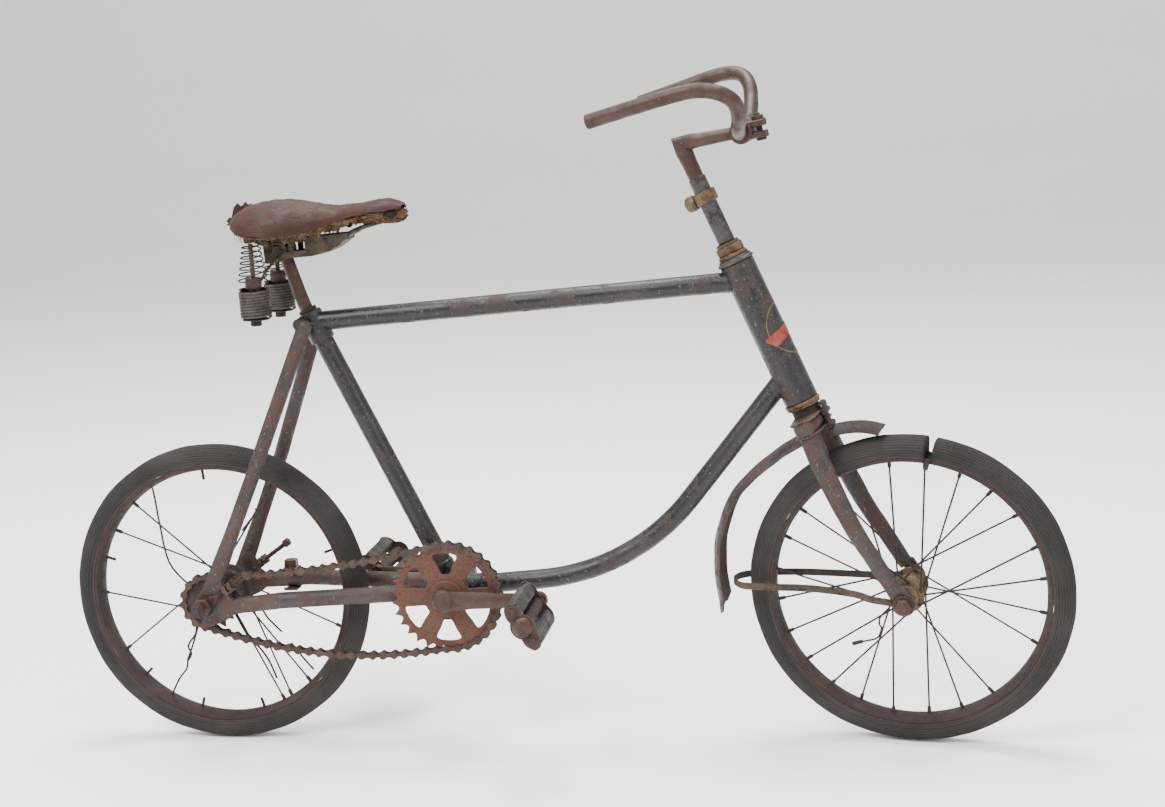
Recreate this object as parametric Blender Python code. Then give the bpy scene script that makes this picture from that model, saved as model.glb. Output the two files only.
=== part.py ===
"""A child's bicycle of the old safety pattern, abandoned and rusted, with its worn and missing pieces.

Sizes are in metres. The bicycle is laid out with X forward, Z up and Y to the rider's left, from the
point on the ground under the rear axle. The chain is on the right, at negative Y. An empty then carries
everything, so that the world's origin is the top of the saddle, where the rider holds the machine.
"""

from math import atan2, cos, hypot, pi, radians, sin, sqrt, tau

import bmesh
import bpy
from mathutils import Matrix, Vector

GAP = 0.0003
RUNNING_GAP = 0.0005

# wheels
WHEEL_RADIUS = 0.178
WHEELBASE = 0.7947
REAR_AXLE = Vector((0.0, 0.0, WHEEL_RADIUS))
FRONT_AXLE = Vector((WHEELBASE, 0.0, WHEEL_RADIUS))
TYRE_HALF_WIDTH = 0.0155
TYRE_HEIGHT = 0.0235
RIM_HALF_WIDTH = 0.0130
RIM_EDGE_HEIGHT = 0.0035
RIM_DEPTH = 0.0068
SPOKE_RADIUS = 0.0011
SPOKE_COUNT = 24
WHEEL_SIDES = 40
SPOKE_LEAN = radians(58)
SPOKE_HOLE_INSET = 0.0022
SPOKE_OFFSET = 0.0018
RIM_HOLE_Y = 0.0020
AXLE_RADIUS = 0.0045

# spokes left in each wheel, and broken ones that hang
FRONT_SPOKES = tuple(k for k in range(SPOKE_COUNT) if k != 21)
FRONT_LOOSE = (
    # x, y and z from the axle along each broken wire
    ((-0.0150, -0.0200, -0.0080), (-0.0290, -0.0240, -0.0251), (-0.0281, -0.0240, -0.0384),
     (-0.0327, -0.0230, -0.0495), (-0.0442, -0.0215, -0.0543), (-0.0538, -0.0205, -0.0569)),
)
REAR_STANDING = (
    # side, degrees at the rim, degrees at the hub
    (-1, 132.6, 63.5), (1, 149.5, 122.1), (-1, 179.3, 221.7), (1, 209.4, 155.6), (-1, 296.4, 326.0),
    (1, 299.6, 327.0), (-1, 312.2, 380.0), (1, 342.6, 361.8), (-1, 61.0, 81.3),
)
REAR_LOOSE = (
    ((-0.0740, -0.0050, 0.1270), (-0.0660, -0.0120, 0.0880), (-0.0300, -0.0210, 0.0120),
     (-0.0180, -0.0230, 0.0080)),
    ((-0.0620, -0.0030, -0.1080), (-0.0460, -0.0140, -0.0800), (-0.0200, -0.0220, -0.0220),
     (-0.0120, -0.0230, -0.0140)),
    ((0.0160, -0.0230, -0.0150), (0.0430, -0.0170, -0.0600), (0.0540, -0.0140, -0.0790),
     (0.0610, -0.0100, -0.1030)),
    ((0.0160, 0.0230, -0.0150), (0.0430, 0.0200, -0.0360), (0.0620, 0.0170, -0.0550)),
)

# front hub and axle
FRONT_FLANGE_RADIUS = 0.0190
FRONT_FLANGE_Y = 0.0200
FRONT_FLANGE_THICKNESS = 0.0030
FRONT_BARREL_RADIUS = 0.0125
FRONT_CONE_RADIUS = 0.0130
FRONT_HUB_HALF_LENGTH = 0.0290
FRONT_AXLE_HALF_LENGTH = 0.0600

# rear hub, driver and axle
REAR_FLANGE_RADIUS = 0.0270
REAR_FLANGE_Y = 0.0230
REAR_FLANGE_THICKNESS = 0.0032
REAR_BARREL_RADIUS = 0.0200
REAR_HUB_HALF_LENGTH = 0.0290
REAR_AXLE_RIGHT_END = 0.0860
REAR_AXLE_LEFT_END = 0.0740
BRAKE_CONE_RADIUS = 0.0150

# drive
CHAIN_PITCH = 0.0127
CHAIN_Y = -0.0430
CHAIN_WIDTH = 0.0100
CHAIN_HALF_HEIGHT = 0.0047
CHAIN_WAIST_HALF_HEIGHT = 0.0033
CHAIN_SLACK = 0.0150
TOOTH_SLOT_SIDE = 0.0010
TOOTH_SLOT_END = 0.0008
RING_TEETH = 30
SPROCKET_TEETH = 15
SPROCKET_THICKNESS = 0.0030
TOOTH_ABOVE_PITCH = 0.0034
TOOTH_BELOW_PITCH = 0.0038
RING_WINDOWS = 6
RING_WINDOW_INNER = 0.0230
RING_WINDOW_OUTER = 0.0475
RING_WINDOW_HALF_ANGLE = radians(16.5)
CRANK_LENGTH = 0.1080
CRANK_INNER_Y = 0.0530
CRANK_THICKNESS = 0.0095
CRANK_BOSS_RADIUS = 0.0130
CRANK_EYE_RADIUS = 0.0100
CRANK_WAIST = 0.0075
CRANK_AXLE_RADIUS = 0.0070

# pedals
PEDAL_START = 0.0680
PEDAL_LENGTH = 0.0880
PEDAL_BLOCK_WIDTH = 0.0210
PEDAL_BLOCK_HEIGHT = 0.0240
PEDAL_BLOCK_PITCH = 0.0370
PEDAL_PLATE_THICKNESS = 0.0022
PEDAL_PIN_RADIUS = 0.0042
PEDAL_SLEEVE_RADIUS = 0.0075
PEDAL_CAP_RADIUS = 0.0105
PEDAL_BOLT_RADIUS = 0.0030
PEDAL_REST_ANGLE = {"right": radians(-57), "left": radians(-35)}

# frame
TUBE_RADIUS = 0.0112
HEAD_RADIUS = 0.0190
HEAD_BORE = 0.0148
STEERER_RADIUS = 0.0127
HEAD_ANGLE = radians(23.33)
UP_THE_HEAD = Vector((-sin(HEAD_ANGLE), 0.0, cos(HEAD_ANGLE)))
AHEAD_OF_HEAD = Vector((cos(HEAD_ANGLE), 0.0, sin(HEAD_ANGLE)))
HEAD_LENGTH = 0.1672
RACE_HEIGHT = 0.0070
CROWN_HEIGHT = 0.0330
TYRE_TO_CROWN = 0.02245
FORK_RAKE = 0.01888
CROWN_TO_AXLE = WHEEL_RADIUS + TYRE_TO_CROWN
CROWN_BELOW_HEAD = HEAD_LENGTH + GAP + RACE_HEIGHT + RUNNING_GAP
HEAD_TOP = (
    FRONT_AXLE + UP_THE_HEAD * (CROWN_TO_AXLE + CROWN_HEIGHT + CROWN_BELOW_HEAD) - AHEAD_OF_HEAD * FORK_RAKE
)
BRACKET = REAR_AXLE + Vector((0.2806, 0.0, 0.0050))
SEAT_LUG = BRACKET + Vector((-0.1449, 0.0, 0.3115))
SEAT_LUG_RADIUS = 0.0140
SEAT_LUG_LENGTH = 0.0360
SEAT_LUG_ABOVE = 0.0120
SEAT_EAR_RADIUS = 0.0075
SEAT_EAR_OFFSET = Vector((-0.0080, 0.0, 0.0))
BRACKET_RADIUS = 0.0205
BRACKET_BORE = 0.0165
BRACKET_HALF_WIDTH = 0.0300
CUP_DEPTH = 0.0100
CUP_LIP = 0.0040
CUP_INSET = 0.0020
CUP_BEVEL = 0.0020
TOP_TUBE_DROP = 0.0225
DOWN_TUBE_DROP = 0.1335
DOWN_TUBE_CORNER = FRONT_AXLE + Vector((-0.3053, 0.0, 0.0223))
DOWN_TUBE_BEND = 0.2500
SEAT_STAY_RADIUS = 0.0082
SEAT_STAY_TOP_Y = 0.0205
STAY_SPREAD_Y = 0.0470
CHAIN_STAY_RADIUS = 0.0082
CHAIN_STAY_HEIGHT = 1.15
CHAIN_STAY_FRONT_Y = 0.0190
# bend of each stay, x and z from the rear axle
SEAT_STAY_BEND = (0.0680, 0.1540)
CHAIN_STAY_BEND = (0.0900, 0.0035)
STAY_FLATTENING = 0.62
FORK_END_Y = 0.0550
FORK_END_THICKNESS = 0.0050
FORK_END_SLOT = 0.0115

# steering
STEER_REST = radians(-10)
STEM_SLIP = radians(-4)
FORK_HALF_WIDTH = 0.0480
FORK_TIP_THICKNESS = 0.0050
FORK_TIP_DISC = 0.0110
FORK_BLADE_ROWS = (
    # share of the way from the crown to the axle, ahead of the head's axis, out, half width, half height
    (-0.0599, 0.0000, 0.0300, 0.0095, 0.0110),
    (0.0998, 0.0000, 0.0380, 0.0095, 0.0105),
    (0.2993, 0.0010, 0.0430, 0.0090, 0.0095),
    (0.5238, 0.0040, 0.0460, 0.0080, 0.0085),
    (0.6984, 0.0095, 0.0475, 0.0068, 0.0078),
)
FORK_BLADE_END = (-0.0080, 0.0120)
FORK_BLADE_END_HALF_SIZES = (0.0040, 0.0072)
QUILL_RADIUS = 0.0095
STEM_RADIUS = 0.0082
BAR_RADIUS = 0.0079
CLAMP_RADIUS = 0.0125

# saddle
SADDLE_TOP = SEAT_LUG + Vector((-0.0157, 0.0, 0.1365))
POST_RADIUS = 0.0075
SPRING_Y = 0.0420
SPRING_X = SADDLE_TOP.x - 0.0370

POST_TOP = SADDLE_TOP + Vector((-0.0125, 0.0, -0.0570))
LEATHER = 0.0045
REAR_BAR_Z = SADDLE_TOP.z - 0.0390
COIL_LOW = SADDLE_TOP.z - 0.1265
COIL_HIGH = SADDLE_TOP.z - 0.0920
COIL_RADIUS = 0.0175
THIN_COIL_LOW_RADIUS = 0.0175
THIN_COIL_HIGH_RADIUS = 0.0085
SADDLE_STATIONS = (
    # ahead of the saddle's top, half width, crown and edges below the top
    (-0.0660, 0.0480, 0.0175, 0.0260),
    (-0.0540, 0.0640, 0.0085, 0.0300),
    (-0.0350, 0.0715, 0.0020, 0.0335),
    (-0.0050, 0.0680, 0.0000, 0.0350),
    (0.0250, 0.0500, 0.0055, 0.0345),
    (0.0500, 0.0310, 0.0095, 0.0290),
    (0.0800, 0.0205, 0.0070, 0.0230),
    (0.1100, 0.0170, 0.0035, 0.0225),
    (0.1260, 0.0125, 0.0085, 0.0205),
)
BEAM_ROWS = (
    # ahead of the saddle's top, below it, half width, half height
    (0.0250, 0.0430, 0.0140, 0.0085),
    (0.0700, 0.0270, 0.0100, 0.0045),
    (0.1130, 0.0126, 0.0080, 0.0025),
)

# pieces at the rear axle
ADJUSTER_PLATE = 0.0025
ADJUSTER_ROD = 0.0028
ADJUSTER_ANGLE = radians(35)
ADJUSTER_ENDS = {"right": (0.0640, 0.0030), "left": (0.0780, 0.0070)}
BRAKE_CONE_END = 0.0440
BRAKE_ARM_THICKNESS = 0.0030
CLIP_ROOM = 0.0008
CLIP_X = 0.0690
CLIP_HALF_WIDTH = 0.0080
CLIP_BELOW = 0.0130
CLIP_ABOVE = 0.0240
CLIP_INNER_Y = 0.0360
CLIP_OUTER_Y = 0.0620

# pieces at the head
LOWER_RACE_RADIUS = 0.0198
UPPER_RACE_RADIUS = 0.0180
UPPER_RACE_HEIGHT = 0.0060
LOCKNUT_HEIGHT = 0.0170
LOCKNUT_RADIUS = 0.0160
STEERER_ABOVE = 0.0240
STEM_RISE = 0.1410
SLEEVE_RISE = 0.1010
COLLAR_RISE = 0.0780
BAR_CENTRE = HEAD_TOP + Vector((0.0144, 0.0, 0.1404))
BAR_RIGHT = (
    # ahead of the clamp, distance from the middle, above the clamp
    (0.0000, 0.0130, 0.0000),
    (0.0040, 0.0320, 0.0060),
    (0.0130, 0.0580, 0.0220),
    (0.0140, 0.0760, 0.0380),
    (0.0040, 0.0870, 0.0480),
    (-0.0150, 0.0900, 0.0525),
    (-0.0400, 0.0900, 0.0500),
    (-0.0900, 0.0900, 0.0380),
    (-0.1410, 0.0900, 0.0250),
)
BAR_LEFT = (
    (0.0000, 0.0130, 0.0000),
    (-0.0010, 0.0320, 0.0090),
    (-0.0060, 0.0580, 0.0260),
    (-0.0120, 0.0760, 0.0410),
    (-0.0220, 0.0870, 0.0510),
    (-0.0360, 0.0900, 0.0545),
    (-0.0600, 0.0900, 0.0510),
    (-0.1000, 0.0900, 0.0390),
    (-0.1450, 0.0900, 0.0260),
)
GUARD_HALF_WIDTH = 0.0170
GUARD_HALF_THICKNESS = 0.0010
MUDGUARD_REAR = (
    # degrees round the front axle from straight ahead, distance outside the tyre
    (122.83, 0.0243),
    (131.23, 0.0274),
    (143.54, 0.0339),
    (153.33, 0.0383),
    (163.30, 0.0378),
    (173.28, 0.0357),
    (182.18, 0.0324),
    (191.81, 0.0321),
)
MUDGUARD_FRONT = (
    (115.78, 0.0213),
    (109.70, 0.0178),
    (103.41, 0.0130),
    (97.14, 0.0054),
)
STAY_THICKNESS = 0.0016
STAY_EYE_RADIUS = 0.0095
STAY_FAR_ROWS = (
    # share of the wheel's radius behind the axle, distance beyond it, distance out, height over the axle
    (0.7567, 0.0000, 0.0400, 0.0065),
    (1.0000, 0.0047, 0.0270, 0.0060),
)
STAY_NEAR_SHARE = 0.3354
STAY_NEAR_RISE = 0.0050
STAY_LOOP_BEYOND = 0.0182
STAY_LOOP_RISE = 0.0055
STAY_HEIGHT = 0.0080

SIDES = {"right": -1, "left": 1}

COLOURS = {
    # name: (red, green, blue), metallic, roughness
    "worn_enamel": ((0.060, 0.058, 0.060), 0.2, 0.65),
    "rust": ((0.145, 0.060, 0.032), 0.1, 0.85),
    "dark_rust": ((0.070, 0.034, 0.024), 0.1, 0.85),
    "dull_steel": ((0.110, 0.105, 0.105), 0.6, 0.55),
    "brass": ((0.330, 0.205, 0.090), 0.6, 0.55),
    "rubber": ((0.060, 0.055, 0.052), 0.0, 0.90),
    "leather": ((0.110, 0.050, 0.036), 0.0, 0.85),
    "chain_rust": ((0.120, 0.070, 0.045), 0.2, 0.85),
}



def clear_scene():
    for obj in list(bpy.data.objects):
        bpy.data.objects.remove(obj, do_unlink=True)


def material(name):
    colour, metallic, roughness = COLOURS[name]
    found = bpy.data.materials.get(name) or bpy.data.materials.new(name)
    found.use_nodes = True
    shader = found.node_tree.nodes["Principled BSDF"]
    shader.inputs["Base Color"].default_value = (*colour, 1.0)
    shader.inputs["Metallic"].default_value = metallic
    shader.inputs["Roughness"].default_value = roughness
    found.diffuse_color = (*colour, 1.0)
    return found


def object_from(name, bm):
    """An object of this mesh, its faces outwards and its round sides smooth."""
    bmesh.ops.recalc_face_normals(bm, faces=bm.faces)
    mesh = bpy.data.meshes.new(name)
    bm.to_mesh(mesh)
    bm.free()
    obj = bpy.data.objects.new(name, mesh)
    bpy.context.scene.collection.objects.link(obj)
    return obj


def finish(obj, finish_name, parent, at=(0, 0, 0)):
    """Gives the piece its finish and hangs it on its parent, with its origin at this place."""
    obj.data.materials.clear()
    obj.data.materials.append(material(finish_name))
    obj.data.shade_smooth()
    obj.data.set_sharp_from_angle(angle=radians(35))
    obj.parent = parent
    obj.location = at
    return obj


def turned(profile, sides, name="turned"):
    """A solid turned about Y through the origin: profile is a closed loop of (radius, y)."""
    bm = bmesh.new()
    rings = []
    for radius, y in profile:
        if radius < 1e-6:
            rings.append([bm.verts.new((0.0, y, 0.0))])
            continue
        angles = (tau * k / sides for k in range(sides))
        rings.append([bm.verts.new((radius * cos(a), y, radius * sin(a))) for a in angles])
    for ring, following in zip(rings, rings[1:] + rings[:1]):
        for k in range(sides):
            near = (ring[k % len(ring)], ring[(k + 1) % len(ring)])
            far = (following[(k + 1) % len(following)], following[k % len(following)])
            corners = list(dict.fromkeys(near + far))
            if len(corners) > 2:
                bm.faces.new(corners)
    return object_from(name, bm)


def rounded_path(points, radii, steps=6):
    """The path through points, each inner corner an arc of its radius."""
    points = [Vector(p) for p in points]
    path = [points[0]]
    for before, corner, after, radius in zip(points, points[1:], points[2:], radii):
        towards = (before - corner).normalized()
        onwards = (after - corner).normalized()
        half = towards.angle(onwards) / 2
        if radius <= 0 or half > radians(89.5):
            path.append(corner)
            continue
        along = radius / abs(sin(half) / cos(half))
        middle = corner + (towards + onwards).normalized() * (radius / sin(half))
        start = corner + towards * along - middle
        sweep = pi - 2 * half
        normal = towards.cross(onwards).normalized()
        for k in range(steps + 1):
            path.append(middle + Matrix.Rotation(-sweep * k / steps, 3, normal) @ start)
    path.append(points[-1])
    return path


def smooth_path(points, steps=4):
    """A curve that passes through every point, each stretch a cubic with the neighbours' slope."""
    points = [Vector(p) for p in points]
    path = []
    for k in range(len(points) - 1):
        p0 = points[max(k - 1, 0)]
        p1, p2 = points[k], points[k + 1]
        p3 = points[min(k + 2, len(points) - 1)]
        for step in range(steps):
            t = step / steps
            slope_in, slope_out = (p2 - p0) / 2, (p3 - p1) / 2
            path.append(
                (2 * t**3 - 3 * t**2 + 1) * p1
                + (t**3 - 2 * t**2 + t) * slope_in
                + (3 * t**2 - 2 * t**3) * p2
                + (t**3 - t**2) * slope_out
            )
    path.append(points[-1])
    return path


def swept(path, sizes, sides=10, across=Vector((0, 1, 0)), name="swept"):
    """A bar along path, closed at both ends. sizes is a radius, or one (half width, half height) a point.

    The half width lies along the direction across, as nearly as the path lets it.
    """
    path = [Vector(p) for p in path]
    if not hasattr(sizes, "__len__"):
        sizes = [(sizes, sizes)] * len(path)
    bm = bmesh.new()
    rings = []
    side = Vector(across)
    for k, (point, (half_width, half_height)) in enumerate(zip(path, sizes)):
        ahead = (path[min(k + 1, len(path) - 1)] - path[max(k - 1, 0)]).normalized()
        side = (side - ahead * side.dot(ahead)).normalized()
        lift = ahead.cross(side)
        angles = (tau * (j + 0.5) / sides for j in range(sides))
        rings.append(
            [bm.verts.new(point + side * half_width * cos(a) + lift * half_height * sin(a)) for a in angles]
        )
    for ring, following in zip(rings, rings[1:]):
        for j in range(sides):
            bm.faces.new((ring[j], ring[(j + 1) % sides], following[(j + 1) % sides], following[j]))
    bm.faces.new(rings[0])
    bm.faces.new(rings[-1])
    return object_from(name, bm)


def plate(outline, y_low, y_high, name="plate"):
    """A flat plate: the outline's (x, z) points, from y_low to y_high."""
    bm = bmesh.new()
    low = [bm.verts.new((x, y_low, z)) for x, z in outline]
    high = [bm.verts.new((x, y_high, z)) for x, z in outline]
    for k in range(len(outline)):
        following = (k + 1) % len(outline)
        bm.faces.new((low[k], low[following], high[following], high[k]))
    bm.faces.new(low)
    bm.faces.new(high)
    return object_from(name, bm)


def drum(start, end, radius, sides=20, name="drum"):
    return swept([start, end], radius, sides, across=Vector((0.31, 0.72, 0.62)), name=name)


def moved(obj, matrix):
    obj.data.transform(matrix)
    if matrix.determinant() < 0:
        obj.data.flip_normals()
    return obj


def joined(name, pieces, cutters=()):
    """One closed body: the pieces united, with the cutters taken out. The helpers are removed."""
    body = pieces[0]
    body.name = name
    body.data.name = name
    helpers = list(pieces[1:]) + list(cutters)
    for operation, group in (("UNION", pieces[1:]), ("DIFFERENCE", cutters)):
        for other in group:
            step = body.modifiers.new(operation.lower(), "BOOLEAN")
            step.operation = operation
            step.solver = "EXACT"
            step.object = other
    bpy.context.view_layer.update()
    mesh = bpy.data.meshes.new_from_object(body.evaluated_get(bpy.context.evaluated_depsgraph_get()))
    body.modifiers.clear()
    body.data = mesh
    mesh.name = name
    for helper in helpers:
        bpy.data.objects.remove(helper, do_unlink=True)
    return body


def merged(objects, name):
    """Several meshes that don't touch each other made one object, for use as one Boolean operand."""
    bm = bmesh.new()
    for obj in objects:
        bm.from_mesh(obj.data)
        bpy.data.objects.remove(obj, do_unlink=True)
    return object_from(name, bm)


def empty(name, location, parent=None):
    obj = bpy.data.objects.new(name, None)
    obj.location = location
    obj.parent = parent
    bpy.context.scene.collection.objects.link(obj)
    return obj


def on_head(drop, forward=0.0, y=0.0):
    """The point this far down the head from its top edge, and this far forward of its axis."""
    return HEAD_TOP - UP_THE_HEAD * drop + AHEAD_OF_HEAD * forward + Vector((0.0, y, 0.0))


def pitch_radius(teeth):
    return CHAIN_PITCH / (2 * sin(pi / teeth))


def toothed_outline(teeth, phase=0.0):
    """Four points a tooth: two at the root and two at the narrow tip."""
    root = pitch_radius(teeth) - TOOTH_BELOW_PITCH
    tip = pitch_radius(teeth) + TOOTH_ABOVE_PITCH
    shape = ((-0.30, root), (-0.09, tip), (0.09, tip), (0.30, root))
    points = []
    for k in range(teeth):
        for share, radius in shape:
            angle = phase + tau * (k + share) / teeth
            points.append((radius * cos(angle), radius * sin(angle)))
    return points


# Wheels

TYRE_PROFILE = (
    # share of the height above the rim's edge, share of the half width
    (0.00, 0.80),
    (0.22, 0.96),
    (0.45, 1.00),
    (0.72, 0.82),
    (0.92, 0.45),
    (1.00, 0.00),
)


def tyre(name):
    seat = WHEEL_RADIUS - TYRE_HEIGHT
    right = [(seat + TYRE_HEIGHT * h, -TYRE_HALF_WIDTH * w) for h, w in TYRE_PROFILE]
    left = [(radius, -y) for radius, y in reversed(right[:-1])]
    return turned(right + left, WHEEL_SIDES, name)


def rim(name):
    edge = WHEEL_RADIUS - TYRE_HEIGHT - GAP
    half = RIM_HALF_WIDTH
    inner = edge - RIM_DEPTH
    profile = (
        (edge, -half),
        (edge, half),
        (edge - RIM_EDGE_HEIGHT, half),
        (inner, half * 0.35),
        (inner, -half * 0.35),
        (edge - RIM_EDGE_HEIGHT, -half),
    )
    return turned(profile, WHEEL_SIDES, name)


def hub(name, flange_radius, flange_y, flange_thickness, barrel_radius, end_radius, half_length, bore):
    """A hub shell with two flanges, open along its axle."""
    half = flange_thickness / 2
    right = [
        (bore, -half_length),
        (end_radius, -half_length),
        (end_radius, -flange_y - half),
        (flange_radius, -flange_y - half),
        (flange_radius, -flange_y + half),
        (barrel_radius, -flange_y + half + 0.003),
    ]
    left = [(radius, -y) for radius, y in reversed(right)]
    return turned(right + left, 20, name)


def spokes(flange_radius, flange_y, present):
    """Tangent spokes from alternate flanges to the rim, by their numbers round it, as one mesh.

    Spokes that lean forwards leave the flange's outer face and the others its inner face, so they
    pass each other.
    """
    edge = WHEEL_RADIUS - TYRE_HEIGHT - GAP - RIM_DEPTH / 2
    reach = flange_radius - SPOKE_HOLE_INSET
    wires = []
    for number in present:
        side = -1 if number % 2 else 1
        lean = 1 if (number // 2) % 2 else -1
        at_rim = tau * (number + 0.5) / SPOKE_COUNT
        at_hub = at_rim + lean * SPOKE_LEAN
        start_y = side * flange_y + lean * SPOKE_OFFSET
        start = Vector((reach * cos(at_hub), start_y, reach * sin(at_hub)))
        end = Vector((edge * cos(at_rim), side * RIM_HOLE_Y, edge * sin(at_rim)))
        wires.append(swept([start, end], SPOKE_RADIUS, 5))
    return merged(wires, "spokes")


def standing_wires():
    """The wires still whole in the rear wheel, each its own mesh, by their angles at rim and hub."""
    edge = WHEEL_RADIUS - TYRE_HEIGHT - GAP - RIM_DEPTH / 2
    reach = REAR_FLANGE_RADIUS - SPOKE_HOLE_INSET
    wires = []
    for side, rim_degrees, hub_degrees in REAR_STANDING:
        at_rim, at_hub = radians(rim_degrees), radians(hub_degrees)
        start = Vector((reach * cos(at_hub), side * REAR_FLANGE_Y, reach * sin(at_hub)))
        end = Vector((edge * cos(at_rim), side * RIM_HOLE_Y, edge * sin(at_rim)))
        wires.append(swept([start, end], SPOKE_RADIUS, 5))
    return wires


def loose_wires(rows):
    """The broken wires, each along its measured points."""
    return [swept(row, SPOKE_RADIUS, 5) for row in rows]


def front_wheel(parent):
    shell = hub(
        "hub", FRONT_FLANGE_RADIUS, FRONT_FLANGE_Y, FRONT_FLANGE_THICKNESS, FRONT_BARREL_RADIUS,
        FRONT_CONE_RADIUS, FRONT_HUB_HALF_LENGTH, AXLE_RADIUS + RUNNING_GAP,
    )
    wires = [spokes(FRONT_FLANGE_RADIUS, FRONT_FLANGE_Y, FRONT_SPOKES), *loose_wires(FRONT_LOOSE)]
    finish(joined("front_wheel", [shell, *wires, rim("rim")]), "dark_rust", parent)
    finish(tyre("front_tyre"), "rubber", parent)


def rear_wheel(parent):
    shell = hub(
        "hub", REAR_FLANGE_RADIUS, REAR_FLANGE_Y, REAR_FLANGE_THICKNESS, REAR_BARREL_RADIUS,
        REAR_BARREL_RADIUS, REAR_HUB_HALF_LENGTH, AXLE_RADIUS + RUNNING_GAP,
    )
    wires = standing_wires() + loose_wires(REAR_LOOSE)
    finish(joined("rear_wheel", [shell, *wires, rim("rim")]), "dark_rust", parent)
    finish(tyre("rear_tyre"), "rubber", parent)


# Drive

def chainring():
    """The toothed wheel with its windows, drilled for the bracket axle's boss."""
    half = SPROCKET_THICKNESS / 2
    ring = plate(toothed_outline(RING_TEETH, pi / RING_TEETH), CHAIN_Y - half, CHAIN_Y + half)
    windows = []
    for k in range(RING_WINDOWS):
        middle = tau * (k + 0.5) / RING_WINDOWS
        outer = [
            (RING_WINDOW_OUTER, middle + RING_WINDOW_HALF_ANGLE * share) for share in (-1, -0.5, 0, 0.5, 1)
        ]
        inner = [(RING_WINDOW_INNER, middle + RING_WINDOW_HALF_ANGLE * share) for share in (0.55, -0.55)]
        outline = [(radius * cos(a), radius * sin(a)) for radius, a in outer + inner]
        windows.append(plate(outline, CHAIN_Y - 0.01, CHAIN_Y + 0.01))
    return ring, merged(windows, "windows")


def crank(side):
    """One flat tapering arm from the bracket axle to its pedal eye, pointing forward."""
    inner = CRANK_INNER_Y
    outer = inner + CRANK_THICKNESS
    rows = (
        # distance from the bracket's centre, half height
        (0.0, CRANK_BOSS_RADIUS * 0.80),
        (0.012, CRANK_BOSS_RADIUS * 0.72),
        (CRANK_LENGTH * 0.55, CRANK_WAIST),
        (CRANK_LENGTH - 0.008, CRANK_WAIST * 1.05),
        (CRANK_LENGTH, CRANK_WAIST * 1.1),
    )
    outline = [(x, -h) for x, h in rows] + [(x, h) for x, h in reversed(rows)]
    low, high = sorted((side * inner, side * outer))
    arm = plate(outline, low, high)
    boss = drum((0, side * (inner - 0.004), 0), (0, side * (outer + 0.0025), 0), CRANK_BOSS_RADIUS)
    eye = drum((CRANK_LENGTH, low, 0), (CRANK_LENGTH, high, 0), CRANK_EYE_RADIUS, 16)
    pieces = [arm, boss, eye]
    if side > 0:
        for piece in pieces:
            moved(piece, Matrix.Rotation(pi, 4, "Y"))
    return pieces


def crankset(parent):
    """The chainring, both cranks, their axle and the pins that the pedals turn on, all one piece."""
    ring, windows = chainring()
    axle = drum((0, -CRANK_INNER_Y - 0.002, 0), (0, CRANK_INNER_Y + 0.002, 0), CRANK_AXLE_RADIUS, 16)
    boss = drum((0, -CRANK_INNER_Y - 0.002, 0), (0, CHAIN_Y + 0.006, 0), CRANK_BOSS_RADIUS * 0.95)
    pieces = [ring, boss, axle] + crank(-1) + crank(1)
    for side in (-1, 1):
        x = -side * CRANK_LENGTH
        start = side * (CRANK_INNER_Y + 0.002)
        end = side * (PEDAL_START + PEDAL_LENGTH - 0.004)
        pieces.append(drum((x, start, 0), (x, end, 0), PEDAL_PIN_RADIUS, 10))
        low = side * (CRANK_INNER_Y + 0.004)
        high = side * (PEDAL_START - 0.0015)
        pieces.append(drum((x, low, 0), (x, high, 0), PEDAL_SLEEVE_RADIUS, 12))
    return finish(joined("crankset", pieces, [windows]), "rust", parent)


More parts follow.
